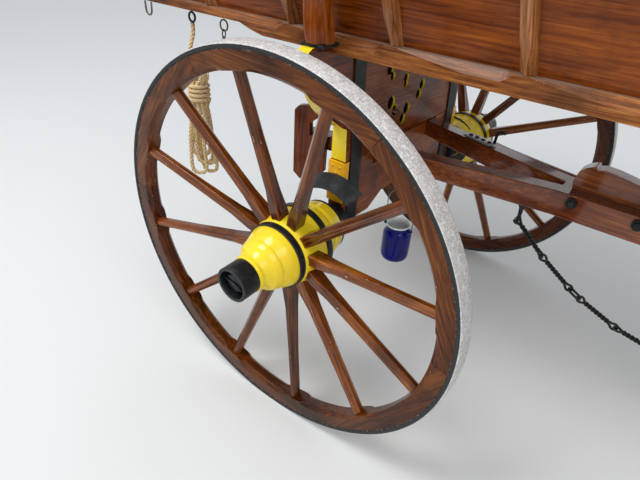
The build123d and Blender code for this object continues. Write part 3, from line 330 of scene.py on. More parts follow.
reds = ((0.018, 0.004, 0.001), (0.085, 0.0165, 0.0015), (0.215, 0.05, 0.004), (0.46, 0.15, 0.018))
browns = ((0.02, 0.0042, 0.0008), (0.1, 0.017, 0.0012), (0.235, 0.047, 0.0032), (0.44, 0.13, 0.016))
# Near-black tones for the deep walls of the pierced ornament: painted shade inside the holes.
hollow_shade_tones = ((0.001, 0.001, 0.001), (0.002, 0.001, 0.001), (0.004, 0.003, 0.002), (0.008, 0.005, 0.003))
varnished_wood("red_varnish", *[tuple(0.84 * part for part in colour) for colour in reds], coat=0.45)
varnished_wood("brown_varnish", *browns)
varnished_wood("felloe_varnish", *[tuple(0.5 * part for part in colour) for colour in reds], coat=0.1)
# The finish of the ornament's deep walls: painted shade.
varnished_wood("dark_hollow", *hollow_shade_tones, coat=0.0, gloss=0.6)
varnished_wood("wet_varnish", *browns, coat=0.8, gloss=0.2)
varnished_wood(
    "ledge_varnish", (0.032, 0.009, 0.0025), (0.135, 0.037, 0.007), (0.31, 0.1, 0.021), (0.54, 0.235, 0.075),
    dust=0.85, gloss=0.34, coat=0.05,
)
varnished_wood(
    "amber_varnish", (0.055, 0.0095, 0.001), (0.155, 0.03, 0.0022), (0.26, 0.058, 0.004), (0.42, 0.115, 0.01),
    coat=0.1, gloss=0.34, chips=0.2, figure=0.12, fine=0.8,
)
varnished_wood(
    "stake_varnish", (0.045, 0.013, 0.004), (0.15, 0.044, 0.011), (0.3, 0.105, 0.027), (0.52, 0.24, 0.09),
    dust=0.3, coat=0.4,
)
varnished_wood(
    "floor_wood", (0.09, 0.06, 0.04), (0.19, 0.13, 0.085), (0.3, 0.215, 0.14), (0.42, 0.32, 0.22),
    coat=0.0, gloss=0.62, dust=0.4,
)

# %% [markdown]
# ## Paint, iron, leather, enamel and rope
# The hubs and bolster ends are thick glossy yellow. The ironwork is black paint over forged iron, rubbed grey in
# places. The tyres are bare: their tread is scoured to a pale speckled grey by the road, their sides stay black. The
# grease pot is blue enamel, white inside, and the rope is straw-coloured fibre.

# %% Other finishes
def gloss_paint(name, colour, darker, grime):
    """Thick glossy paint with faint unevenness and dirt specks."""
    paint = Finish(name, roughness=0.24, coat=0.35, coat_roughness=0.06, specular=0.25)
    place = paint.place()
    cloud = paint.noise(place, 9.0, 3.0, 0.55)
    shade = paint.mix(paint.between(cloud, 0.35, 0.7), colour, darker)
    specks = paint.between(paint.noise(place, 210.0, 2.0, 0.5), 0.69, 0.74, 0.0, 0.5)
    smears = paint.between(paint.noise(paint.stretched(place, (1.0, 1.0, 2.6)), 26.0, 4.0, 0.7), 0.66, 0.84, 0.0, 0.35)
    paint.colour(paint.mix(paint.maths("MAXIMUM", specks, smears), shade, grime))
    paint.roughness(paint.between(cloud, 0.3, 0.7, 0.16, 0.34))
    paint.bump(paint.noise(place, 60.0, 2.0, 0.5), 0.12, 0.0012)
    return paint


gloss_paint("yellow_paint", (0.94, 0.71, 0.022), (0.88, 0.61, 0.014), (0.3, 0.17, 0.03))
gloss_paint("yellow_plate", (0.93, 0.48, 0.002), (0.86, 0.4, 0.001), (0.24, 0.13, 0.03))


def black_iron(name, colour, rubbed, gloss, metal):
    """Forged iron under black paint, rubbed and dusty."""
    iron = Finish(name, roughness=gloss, metallic=metal, specular=0.3)
    place = iron.place()
    hammer = iron.noise(place, 42.0, 2.0, 0.5)
    fine = iron.noise(place, 260.0, 3.0, 0.6)
    wear = iron.between(iron.noise(place, 34.0, 4.0, 0.7), 0.5, 0.72, 0.0, 0.8)
    edge = iron.times(iron.attribute("edge", "Fac"), 0.55)
    iron.colour(iron.mix(iron.maths("MAXIMUM", wear, edge), colour, rubbed))
    iron.roughness(iron.between(fine, 0.3, 0.7, gloss - 0.1, gloss + 0.15))
    iron.bump(iron.maths("MULTIPLY_ADD", fine, 0.3, hammer), 0.3, 0.0015)
    return iron


black_iron("black_iron", (0.008, 0.009, 0.01), (0.045, 0.046, 0.046), 0.36, 0.1)
black_iron("bare_iron", (0.11, 0.105, 0.1), (0.23, 0.22, 0.21), 0.42, 0.7)
black_iron("pale_steel", (0.3, 0.3, 0.31), (0.48, 0.48, 0.49), 0.3, 0.8)
black_iron("flap_leather", (0.01, 0.013, 0.015), (0.05, 0.055, 0.058), 0.42, 0.0)

tyre = Finish("tyre_iron", roughness=0.5, metallic=0.0, specular=0.3)
place = tyre.place()
tread = tyre.attribute("tread", "Fac")
fine_speck = tyre.times(tyre.noise(place, 240.0, 3.0, 0.75), 0.66)
speck = tyre.maths("MULTIPLY_ADD", tyre.noise(place, 75.0, 4.0, 0.7), 0.34, fine_speck)
scour = tyre.noise(place, 24.0, 4.0, 0.6)
stones = [(0.38, (0.34, 0.325, 0.315)), (0.48, (0.53, 0.51, 0.495)), (0.55, (0.66, 0.64, 0.62))]
pale = tyre.ramp(speck, stones + [(0.62, (0.9, 0.88, 0.86))])
pale = tyre.mix(tyre.between(scour, 0.42, 0.7, 0.0, 0.45), pale, (0.42, 0.4, 0.37))
side = tyre.mix(tyre.between(speck, 0.55, 0.7, 0.0, 0.6), (0.02, 0.02, 0.021), (0.1, 0.095, 0.09))
tyre.colour(tyre.mix(tread, side, pale))
tyre.roughness(tyre.between(speck, 0.3, 0.7, 0.36, 0.62))
tyre.bump(speck, 0.35, 0.0012)

crumbs = Finish("joint_dirt", roughness=0.9)
place = crumbs.place()
earths = [(0.4, (0.01, 0.01, 0.01)), (0.56, (0.05, 0.045, 0.04)), (0.68, (0.42, 0.38, 0.31))]
crumbs.colour(crumbs.ramp(crumbs.noise(place, 150.0, 3.0, 0.65), earths))

blue = Finish("blue_enamel", roughness=0.1, coat=0.08, coat_roughness=0.04, specular=0.18)
cloud = blue.between(blue.noise(blue.place(), 14.0, 2.0, 0.5), 0.4, 0.65)
blue.colour(blue.mix(cloud, (0.003, 0.004, 0.105), (0.005, 0.007, 0.17)))
white = Finish("white_enamel", roughness=0.18, coat=0.6, coat_roughness=0.06)
stain = white.between(white.noise(white.place(), 30.0, 4.0, 0.6), 0.45, 0.7, 0.0, 0.5)
white.colour(white.mix(stain, (0.8, 0.84, 0.83), (0.52, 0.55, 0.52)))

hemp = Finish("rope", roughness=0.85)
lay = hemp.attribute("grain")
fibre = hemp.noise(hemp.stretched(lay, (1.0, 14.0, 14.0)), 42.0, 3.0, 0.65)
soft = hemp.noise(lay, 7.0, 2.0, 0.5)
shade = hemp.ramp(fibre, [(0.26, (0.34, 0.225, 0.1)), (0.48, (0.7, 0.51, 0.26)), (0.72, (0.95, 0.76, 0.47))])
hemp.colour(hemp.mix(hemp.between(soft, 0.4, 0.7, 0.0, 0.3), shade, (0.5, 0.37, 0.2)))
hemp.bump(fibre, 0.7, 0.0012)
print("finishes", sorted(finishes))

# %% [markdown]
# ## Laying the rope's strands
# Three strands turn round the smooth line. Each is a circle carried along a helix about that line, in a frame that
# turns as little as it can, so the lay stays even round every loop. The strand's own coordinates go with it: metres
# along it and round it.

# %% Rope piece
def finish_piece(name, shape, body, slot, materials=None, nodes=()):
    """Turn a bmesh into an object that rides on a body and takes its finish from a slot."""
    mesh = bpy.data.meshes.new(name)
    shape.to_mesh(mesh)
    shape.free()
    for material in materials or [slot]:
        mesh.materials.append(finishes[material].material)
    mesh.polygons.foreach_set("use_smooth", [True] * len(mesh.polygons))
    piece = placed(name, mesh)
    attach(piece, body)
    if nodes:
        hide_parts(*nodes)
    return piece


def travelling_frames(line, closed=False):
    """Side directions along a line that turn as little as possible."""
    frames = []
    side = (line[1] - line[0]).orthogonal().normalized()
    for index in range(len(line)):
        before = line[index - 1] if index or closed else line[0]
        after = line[(index + 1) % len(line)] if index < len(line) - 1 or closed else line[-1]
        ahead = (after - before).normalized()
        side = (side - ahead * side.dot(ahead)).normalized()
        frames.append((ahead, side, ahead.cross(side)))
    return frames


def even_line(line, spacing):
    """The same line with its points a set distance apart."""
    even = [line[0].copy()]
    left = spacing
    for start, end in zip(line, line[1:]):
        run = (end - start).length
        gone = left
        while gone < run:
            even.append(start.lerp(end, gone / run))
            gone += spacing
        left = gone - run
    even.append(line[-1].copy())
    return even


def sweep_round(shape, line, radius, sides, layer=None, closed=False, offset=0.0):
    """Carry a circle along a line, ring by ring, and close its ends."""
    frames = travelling_frames(line, closed)
    rings = []
    gone = 0.0
    for index, (point, (ahead, side, other)) in enumerate(zip(line, frames)):
        if index:
            gone += (point - line[index - 1]).length
        ring = []
        for step in range(sides):
            angle = tau * step / sides
            vertex = shape.verts.new(point + (side * cos(angle) + other * sin(angle)) * radius)
            if layer is not None:
                vertex[layer] = (gone + offset, radius * cos(angle), radius * sin(angle))
            ring.append(vertex)
        rings.append(ring)
    pairs = list(zip(rings, rings[1:]))
    if closed:
        pairs.append((rings[-1], rings[0]))
    for ring, following in pairs:
        for step in range(sides):
            onward = (step + 1) % sides
            shape.faces.new((ring[step], ring[onward], following[onward], following[step]))
    if not closed:
        shape.faces.new(list(reversed(rings[0])))
        shape.faces.new(rings[-1])


ring_spacing = 0.0052
lay_length = 0.046
strand_offset = 0.0041
strand_radius = 0.0042
rope_even = even_line(rope_line, ring_spacing)
frames = travelling_frames(rope_even)
rope_mesh = bmesh.new()
lay_layer = rope_mesh.verts.layers.float_vector.new("grain")
for strand in range(3):
    helix = []
    for index, (point, (ahead, side, other)) in enumerate(zip(rope_even, frames)):
        angle = tau * (index * ring_spacing / lay_length + strand / 3)
        helix.append(point + (side * cos(angle) + other * sin(angle)) * strand_offset)
    sweep_round(rope_mesh, helix, strand_radius, 7, lay_layer, offset=strand * 9.0)
bmesh.ops.recalc_face_normals(rope_mesh, faces=rope_mesh.faces)
print("rope faces", len(rope_mesh.faces))
rope = finish_piece("hank_rope", rope_mesh, "wagon", "rope", nodes=["rope_drop", "rope_hank"])
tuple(rope_route[0])
[tuple(point) for point in rope_line]

# %% [markdown]
# ## Working on a wheel
# Each wheel leans out a little, so its pieces are shaped about their own tilted axle line. Turned pieces are spun about
# that line from an outline, and their sharp rings are bevelled so that they catch the light. The faces of a bevel are
# marked as edges, for the finishes that wear there; wood also gets a painted highlight there.

# %% Spinning about an axle
tilt = radians(1.94)
wheel_facts = {
    # wheel: outer radius, number of spokes, angle of the first spoke in degrees
    "rear_right_wheel": (0.65, 12, 10), "rear_left_wheel": (0.65, 12, 22),
    "front_right_wheel": (0.54, 10, 4), "front_left_wheel": (0.54, 10, 20),
}


def axle_line(wheel):
    """Middle of the wheel's outer plane, and its directions outward and up."""
    centre = Vector(joint_place[wheel + "_turn"])
    side = -1 if centre.y < 0 else 1
    return centre, Vector((0, side * cos(tilt), -sin(tilt))), Vector((0, side * sin(tilt), cos(tilt)))


def on_wheel(wheel, points):
    """Places of (along the axle, radius) points in the upright plane of a wheel's axle."""
    centre, out, up = axle_line(wheel)
    return [centre + out * along + up * radius for along, radius in points]


def spin_outline(shape, places, centre, axis, steps, closed=False):
    """Carry an outline all the way round an axis."""
    ring = [shape.verts.new(place) for place in places]
    edges = [shape.edges.new(pair) for pair in zip(ring, ring[1:] + (ring[:1] if closed else []))]
    bmesh.ops.spin(shape, geom=ring + edges, cent=centre, axis=axis, angle=tau, steps=steps, use_merge=True)


def tidied(shape):
    """Merge the seams of a spun shape and turn its faces outward."""
    bmesh.ops.remove_doubles(shape, verts=shape.verts, dist=1e-6)
    bmesh.ops.recalc_face_normals(shape, faces=shape.faces)
    return shape


def spun(wheel, outlines, steps=96):
    """Spin closed outlines of (along the axle, radius) points, in metres."""
    centre, out, up = axle_line(wheel)
    shape = bmesh.new()
    for outline in outlines:
        spin_outline(shape, on_wheel(wheel, outline), centre, out, steps, closed=True)
    return tidied(shape)


def round_edges(shape, edges, width, segments=2, **more):
    """Bevel some edges and give back the new faces."""
    return bmesh.ops.bevel(
        shape, geom=edges, affect="EDGES", offset=width, segments=segments, profile=0.5, material=-1, **more,
    )["faces"]


def edges_of(made):
    """The edges of a shape that an operator just made, each once."""
    return list(dict.fromkeys(edge for vertex in made["verts"] for edge in vertex.link_edges))


def crease(shape, sharp=24.0, width=0.0012, segments=2):
    """Bevel the edges sharper than an angle, and mark the new faces."""
    layer = shape.loops.layers.float.new("edge")
    corners = [e for e in shape.edges if len(e.link_faces) == 2 and e.calc_face_angle(0) > radians(sharp)]
    for face in round_edges(shape, corners, width, segments, offset_type="OFFSET", clamp_overlap=True, loop_slide=True):
        for loop in face.loops:
            loop[layer] = 1.0
    return shape


# %% [markdown]
# ## Easing the solids
# Every hand-planed piece of wood has its corners taken off. A copy of each solid is merged, its flat faces are joined,
# and its sharp edges are bevelled a few millimetres. At the same time the copy gets its grain: the longest direction of
# each separate stick is found from its own points, so a felloe's grain runs along its chord and a spoke's out to the
# rim. The bevels are marked as edges, which is where the chips, the rubbed iron and the wood's painted highlight show.

# %% Eased copies
easing_dice = random.Random(11)
merge_within = 1e-5
flat_within = radians(0.6)


def islands_of(shape):
    """The separate solids of a mesh, as lists of vertices."""
    seen = set()
    for start in shape.verts:
        if start in seen:
            continue
        seen.add(start)
        island, waiting = [], [start]
        while waiting:
            vertex = waiting.pop()
            island.append(vertex)
            for edge in vertex.link_edges:
                other = edge.other_vert(vertex)
                if other not in seen:
                    seen.add(other)
                    waiting.append(other)
        yield island


def add_grain(shape):
    """Write each stick's own grain coordinates and tone on its vertices."""
    grain = shape.verts.layers.float_vector.new("grain")
    own = shape.verts.layers.float.new("own")
    for island in islands_of(shape):
        places = np.array([vertex.co[:] for vertex in island])
        middle = (places.min(axis=0) + places.max(axis=0)) / 2
        directions = np.linalg.eigh(np.cov((places - middle).T))[1][:, ::-1].T
        for direction in directions:
            direction *= np.sign(direction[np.argmax(np.abs(direction))])
        shift = [easing_dice.uniform(0, 40) for _ in range(3)]
        tone = easing_dice.random()
        coordinates = (places - middle) @ directions.T + shift
        for vertex, coordinate in zip(island, coordinates):
            vertex[grain] = coordinate
            vertex[own] = tone


def weight_normals(piece):
    modifier = piece.modifiers.new("even_normals", "WEIGHTED_NORMAL")
    modifier.keep_sharp = True
    modifier.weight = 80


def ease(node, width, materials=None, paint=None, cut=None, segments=2):
    """Replace a node with a merged copy of it, with bevelled edges and grain, in its own finish."""
    shape = bmesh.new()
    shape.from_mesh(frame["nodes"][node].data)
    bmesh.ops.remove_doubles(shape, verts=shape.verts, dist=merge_within)
    bmesh.ops.dissolve_limit(shape, angle_limit=flat_within, verts=shape.verts, edges=shape.edges)
    if cut:
        cut(shape)
    crease(shape, 26.0, width, segments)
    add_grain(shape)
    if paint:
        for face in shape.faces:
            face.material_index = paint(face)
    piece = finish_piece(node + "_eased", shape, body_of_node[node], slot_of_node[node], materials, [node])
    weight_normals(piece)
    return piece


easing = {
    # node: width of the eased corner in metres
    "sills": 0.0035, "side_boards": 0.0015, "stakes": 0.0022, "top_rails": 0.004, "tail_cleats": 0.002,
    "floor_boards": 0.002, "floor_bearers": 0.002, "front_board": 0.002, "tail_board": 0.002, "main_posts": 0.004,
    "rear_axle_bed": 0.003, "front_axle_bed": 0.003, "rear_hounds": 0.004, "rear_uprights": 0.004, "reach": 0.004,
    "turning_bolster": 0.003, "front_hounds": 0.004, "sway_bar": 0.004, "pole": 0.003, "bolster_straps": 0.0015,
    "rear_end_plates": 0.0025, "front_end_plates": 0.0025, "reach_irons": 0.0025, "kingpin": 0.002,
    "wear_plate": 0.001, "pole_cap": 0.002, "pole_pin": 0.002, "rear_axle_arms": 0.002, "front_axle_arms": 0.002,
    "rear_mud_flaps": 0.0015, "front_mud_flaps": 0.0015,
}
post_plates_above = 1.255
post_plate_share = 0.86
eye_plates_below = 0.7
neck_share = 0.46


def trim_post_plates(shape):
    """Draw the flat plates under the posts in, close round the foot of each post."""
    for island in list(islands_of(shape)):
        if min(vertex.co.z for vertex in island) > post_plates_above:
            middle = sum((vertex.co for vertex in island), Vector()) / len(island)
            for vertex in island:
                vertex.co.x = middle.x + (vertex.co.x - middle.x) * post_plate_share
                vertex.co.y = middle.y + (vertex.co.y - middle.y) * post_plate_share


def draw_eye_plates(shape):
    """Draw the plates that carry the chain in to a narrow neck above the eye."""
    for island in list(islands_of(shape)):
        low, high = [pick(vertex.co.z for vertex in island) for pick in (min, max)]
        if low > eye_plates_below or high - low < 0.05:
            continue
        middle_x = sum(pick(vertex.co.x for vertex in island) for pick in (min, max)) / 2
        faces = list(dict.fromkeys(face for vertex in island for face in vertex.link_faces))
        for height in (high - 0.016, low + 0.034):
            edges = list(dict.fromkeys(edge for face in faces for edge in face.edges))
            vertices = list(dict.fromkeys(vertex for face in faces for vertex in face.verts))
            made = bmesh.ops.bisect_plane(
                shape, geom=vertices + edges + faces, dist=1e-6, plane_co=(0, 0, height), plane_no=(0, 0, 1),
            )
            faces = [part for part in made["geom"] if isinstance(part, bmesh.types.BMFace)]
            for part in made["geom_cut"]:
                if isinstance(part, bmesh.types.BMVert):
                    part.co.x = middle_x + (part.co.x - middle_x) * neck_share


finish_of = {
    "sills": "ledge_varnish", "top_rails": "ledge_varnish", "stakes": "stake_varnish",
    **dict.fromkeys(("rear_hounds", "reach", "front_hounds", "sway_bar", "pole"), "wet_varnish"),
}
faces_made = 0
for node, width in easing.items():
    cut = {"bolster_straps": trim_post_plates, "reach_irons": draw_eye_plates}.get(node)
    faces_made += len(ease(node, width, [finish_of.get(node, slot_of_node[node])], cut=cut).data.polygons)
print("eased", len(easing), "nodes,", faces_made, "faces")

# %% [markdown]
# ## Spokes
# A spoke is square where it leaves the hub, and its drawknifed corners begin a hand's width further out. The solids
# give the place of each one. Here their sections are trimmed at each share of the way out, so that a spoke keeps nearly
# one depth from the hub to the rim, and the corners are rounded.

# %% Trimmed spokes
foot_radius = 0.099
foot_along = -0.108
spoke_dish = 0.0785
shares = (0.0, 0.1, 0.24, 0.6, 1.0)
depth_at = (0.7, 0.7, 0.84, 1.12, 1.2)
width_at = (1.0, 1.0, 1.0, 1.05, 1.08)
shift_at = (0.011, 0.011, 0.009, 0.006, 0.001)


def trim_spokes(wheel):
    """Give the spokes of a wheel their real sections, round the same middle line."""
    centre, out, up = axle_line(wheel)
    end = wheel_facts[wheel][0] - 0.0723

    def cut(shape):
        for island in list(islands_of(shape)):
            middle = sum((vertex.co for vertex in island), Vector()) / len(island) - centre
            ray = (middle - out * middle.dot(out)).normalized()
            across = out.cross(ray)
            for vertex in island:
                place = vertex.co - centre
                share = (place.dot(ray) - foot_radius) / (end - foot_radius)
                line = foot_along + share * spoke_dish
                deep, wide, shift = (np.interp(share, shares, values) for values in (depth_at, width_at, shift_at))
                along = line + shift + (place.dot(out) - line) * deep
                vertex.co = centre + out * along + ray * place.dot(ray) + across * place.dot(across) * wide

    return cut


for wheel in wheel_facts:
    piece = ease(wheel + "_spokes", 0.0045, cut=trim_spokes(wheel), segments=3)
print("last spokes", len(piece.data.polygons), "faces")

# %% [markdown]
# ## Felloes
# The rim is made of separate felloes, two spokes to each, with an open joint between them. Their inner corners are
# chamfered between the spokes and run out to a square shoulder beside each spoke. One outline is spun through a
# felloe's angle, and then the chamfer's points are slid towards the corner where the shoulder stands.

# %% Felloes with stopped chamfers
shoulder_half = 3.4
stop_length = 2.6


def felloe_ring(wheel):
    """All the felloes of a wheel. The shoulder beside a spoke and the chamfer's stop are in degrees."""
    radius, spoke_count, phase = wheel_facts[wheel]
    centre, out, up = axle_line(wheel)
    ahead = Vector((1, 0, 0))
    turning = ahead.cross(up)
    outer, inner, face, back, chamfer, joint = radius - 0.0143, radius - 0.072, -0.002, -0.057, 0.0125, 0.0009
    outline = [
        (face, outer - 0.002), (face - 0.002, outer), (back + 0.002, outer), (back, outer - 0.002),
        (back, inner + chamfer), (back + chamfer, inner), (face - chamfer, inner), (face, inner + chamfer),
    ]
    step = 360 / spoke_count
    gap = degrees(joint / radius)
    shape = bmesh.new()
    for index in range(spoke_count // 2):
        start = phase + step * (2 * index - 0.5) + gap / 2
        ray = ahead * cos(radians(start)) + up * sin(radians(start))
        ring = [shape.verts.new(centre + out * along + ray * high) for along, high in outline]
        edges = [shape.edges.new((a, b)) for a, b in zip(ring, ring[1:] + ring[:1])]
        angle = radians(2 * step - gap)
        bmesh.ops.spin(shape, geom=ring + edges, cent=centre, axis=turning, angle=angle, steps=int(2 * step))
    for vertex in shape.verts:
        place = vertex.co - centre
        along = place.dot(out)
        flat = place - out * along
        angle = degrees(atan2(flat.dot(up), flat.dot(ahead)))
        beside = abs((angle - phase + step / 2) % step - step / 2)
        rise = max(0.0, min(1.0, (beside - shoulder_half) / stop_length))
        keep = chamfer * (0.16 + 0.84 * rise * rise * (3 - 2 * rise))
        if abs(flat.length - inner - chamfer) < 1e-4:
            vertex.co = centre + out * along + flat.normalized() * (inner + keep)
        elif abs(flat.length - inner) < 1e-4:
            along = face - keep if along > (face + back) / 2 else back + keep
            vertex.co = centre + out * along + flat
    bmesh.ops.holes_fill(shape, edges=[edge for edge in shape.edges if edge.is_boundary], sides=0)
    bmesh.ops.recalc_face_normals(shape, faces=shape.faces)
    crease(shape, 22.0, 0.0016)
    add_grain(shape)
    piece = finish_piece(wheel + "_bent_felloes", shape, wheel, "red_varnish", ["felloe_varnish"], [wheel + "_felloes"])
    weight_normals(piece)
    return piece


for wheel in wheel_facts:
    piece = felloe_ring(wheel)
    print(piece.name, len(piece.data.polygons), "faces")

# %% [markdown]
# ## Bolster boards
# The tall bolster boards are brown, but their flared ends and the cut edges of the pierced ornament are painted yellow.
# The paint is chosen face by face: an end face looks along the axle beyond the board's straight part, and a cut edge
# looks sideways inside the board. A brush reaches only a little way in, so the yellow stops there; the deeper walls are
# painted near black as the shade inside the holes.

# %% Painted bolsters
ornament_half = 0.24
ornament_low, ornament_high = 0.9, 1.17
straight_half = 0.405
paint_depth = 0.007


def in_ornament(place):
    return abs(place.y) < ornament_half and ornament_low < place.z < ornament_high


def bolster_paint_and_shade(face, axle):
    """1 for the yellow ends and the ornament's cut edges, 2 for its inside in painted shade, 0 for wood."""
    middle = face.calc_center_median()
    pierced = in_ornament(middle)
    # Walls deeper than the yellow are painted near black: painted shade inside the holes.
    if pierced and abs(face.normal.x) < 0.5 and middle.x < axle + 0.008 - 0.05 * (middle.z - 0.87):
        return 2
    return 1 if abs(face.normal.x) <= 0.75 and (abs(middle.y) > straight_half or pierced) else 0


def pierce_edges(shape):
    """Open the ornament's front edges wide, and part their walls a little way in, where the paint ends."""
    front = max((face for face in shape.faces if face.normal.x > 0.9), key=lambda face: face.calc_area())
    normal, on_face = front.normal.copy(), front.verts[0].co.copy()
    rims = []
    for edge in shape.edges:
        inside = in_ornament((edge.verts[0].co + edge.verts[1].co) / 2)
        if inside and all(abs((vertex.co - on_face).dot(normal)) < 0.0006 for vertex in edge.verts):
            if len(edge.link_faces) == 2 and edge.calc_face_angle(0) > 0.8:
                rims.append(edge)
    round_edges(shape, rims, 0.0045, 1, clamp_overlap=True)
    bmesh.ops.bisect_plane(
        shape, geom=shape.verts[:] + shape.edges[:] + shape.faces[:], dist=1e-6,
        plane_co=on_face - normal * paint_depth, plane_no=normal,
    )
    print("ornament rims", len(rims))


for node, axle in (("rear_bolster_board", rear_x), ("front_bolster_board", front_x)):
    paint = partial(bolster_paint_and_shade, axle=axle)
    # The third finish is the painted shade of the ornament's deep walls.
    piece = ease(node, 0.0015, ["brown_varnish", "yellow_paint", "dark_hollow"], paint, cut=pierce_edges)
    print(node, len(piece.data.polygons), "faces")

# %% [markdown]
# ## Turned pieces of the wheels
# Hubs, bands and tyres are turned on a lathe, so they are spun here from the same outlines as the solids, fine enough
# to stay round in a close view. A tyre's tread is marked on the faces that look outward, and a thin ring of dirt lies
# in the joint between the tyre and the wood.

# %% Hubs, bands and tyres
hub_outline = [
    # along the axle from the outer tyre edge, radius
    (0.105, 0.0467), (0.0827, 0.0467), (0.0827, 0.059), (0.0707, 0.062), (0.0687, 0.057), (0.0607, 0.06),
    (0.0497, 0.066), (0.0387, 0.073), (0.0347, 0.079), (0.024, 0.085), (0.0147, 0.089), (0.0117, 0.084),
    (0.0047, 0.09), (-0.016, 0.099), (-0.037, 0.1072), (-0.061, 0.1072), (-0.065, 0.1132), (-0.08, 0.118),
    (-0.095, 0.1217), (-0.115, 0.1232), (-0.156, 0.1227), (-0.179, 0.1227), (-0.182, 0.118), (-0.199, 0.1145),
    (-0.215, 0.109), (-0.231, 0.098), (-0.241, 0.101), (-0.249, 0.097), (-0.281, 0.092), (-0.281, 0.036),
    (0.105, 0.036),
]
band_outlines = [
    [(0.147, 0.057), (0.083, 0.057), (0.083, 0.047), (0.147, 0.047)],
    [(-0.037, 0.1125), (-0.061, 0.1125), (-0.061, 0.1075), (-0.037, 0.1075)],
    [(-0.156, 0.128), (-0.179, 0.128), (-0.179, 0.123), (-0.156, 0.123)],
    [(-0.2813, 0.092), (-0.2903, 0.092), (-0.2903, 0.056), (-0.2813, 0.056)],
]
cone = 0.059 * sin(tilt)
for wheel, (radius, *_) in wheel_facts.items():
    hub = crease(spun(wheel, [hub_outline]))
    finish_piece(wheel + "_turned_hub", hub, wheel, "yellow_paint", nodes=[wheel + "_hub"])
    bands = crease(spun(wheel, band_outlines))
    finish_piece(wheel + "_turned_bands", bands, wheel, "black_iron", nodes=[wheel + "_bands"])
    rim = [
        (0, radius - 0.014), (0, radius - 0.0035), (-0.0015, radius - 0.001), (-0.004, radius),
        (-0.03, radius + cone * 0.5), (-0.055, radius + cone), (-0.0575, radius + cone - 0.001),
        (-0.059, radius + cone - 0.0035), (-0.059, radius - 0.014),
    ]
    hoop = spun(wheel, [rim], steps=144)
    tread_layer = hoop.loops.layers.float.new("tread")
    centre, out, up = axle_line(wheel)
    for face in hoop.faces:
        middle = face.calc_center_median() - centre
        outward = middle - out * middle.dot(out)
        if outward.normalized().dot(face.normal) > 0.5:
            for loop in face.loops:
                loop[tread_layer] = 1.0
    finish_piece(wheel + "_turned_tyre", hoop, wheel, "tyre_iron", nodes=[wheel + "_tyre"])
    inner, outer = radius - 0.0165, radius - 0.0135
    dirt = spun(wheel, [[(-0.0018, inner), (-0.0018, outer), (-0.0572, outer), (-0.0572, inner)]], steps=144)
    finish_piece(wheel + "_joint_dirt", dirt, wheel, "tyre_iron", ["joint_dirt"])
print("turned", len(wheel_facts), "wheels")

# %% [markdown]
# ## The chain
# A trace chain hangs under the reach between two eyes. Most of its links are long and twisted: one closed loop of wire
# whose two sides wind round each other four times between round eyes. A few are short and plain. Their joints lie on
# the hanging curve that the solids follow, and each link is a wire carried round its own closed line.

# %% Chain links
chain_start = from_rear(0.529, -0.08, 0)
chain_end = from_rear(1.74, -0.048, 0)
chain_low = 0.42
chain_sag = 0.67
twisted_pitch = 0.148
link_order = (1, 1, 0, 1, 1, 0, 1, 1, 0, 1, 1, 0, 0)
chain_way = (chain_end - chain_start).normalized()
chain_side = Vector((-chain_way.y, chain_way.x, 0))
chain_middle = (chain_start + chain_end) / 2
chain_arc = 2 * chain_sag * sinh((chain_end - chain_start).length / 2 / chain_sag)
plain_pitch = (chain_arc - link_order.count(1) * twisted_pitch) / link_order.count(0)
wire = 0.0045
link_eye = 0.0115
twist_half = 0.0046
twists = 4
link_sides = 7


def chain_point(s):
    """Point on the hanging curve at arc length s from its lowest point."""
    high = chain_low + sqrt(chain_sag**2 + s**2) - chain_sag
    return chain_middle + chain_way * (chain_sag * asinh(s / chain_sag)) + Vector((0, 0, high))


def link_line(length, twisted):
    """Closed line of one link: along it, to its side, and off its plane."""
    half = length / 2 + wire
    shank = half - 2 * link_eye - 0.002 if twisted else half - link_eye
    steps = 44 if twisted else 2
    opening = 138 if twisted else 90
    line = []
    for side in (1, -1):
        for step in range(steps):
            along = side * shank * (2 * step / steps - 1)
            angle = tau * twists * (along + shank) / (2 * shank) if twisted else 0.0
            wide = twist_half if twisted else link_eye
            line.append(Vector((along, side * wide * cos(angle), side * wide * sin(angle))))
        for step in range(12):
            angle = radians(opening - 2 * opening * step / 11)
            line.append(Vector((half - link_eye + link_eye * cos(angle), link_eye * sin(angle), 0)) * side)
    return line


links = bmesh.new()
start_s = -chain_arc / 2
for index, twisted in enumerate(link_order):
    start = chain_point(start_s)
    start_s += twisted_pitch if twisted else plain_pitch
    chord = chain_point(start_s) - start
    along = chord.normalized()
    across = chain_side.cross(along)
    normal, sideways = (across, chain_side) if index % 2 == 0 else (chain_side, across)
    middle = start + chord / 2
    closed_line = [middle + along * p.x + sideways * p.y + normal * p.z for p in link_line(chord.length, twisted)]
    sweep_round(links, closed_line, wire, link_sides, closed=True)
bmesh.ops.recalc_face_normals(links, faces=links.faces)
print("chain faces", len(links.faces))
finish_piece("trace_chain", links, "wagon", "black_iron", nodes=["chain"])

# %% [markdown]
# ## The grease pot
# A blue enamelled pot hangs on a wire bail: a wall with a rolled rim and a rounded foot, white inside, two small ears
# and the wire bent over them. The wall is one spun outline with an inner and an outer side.

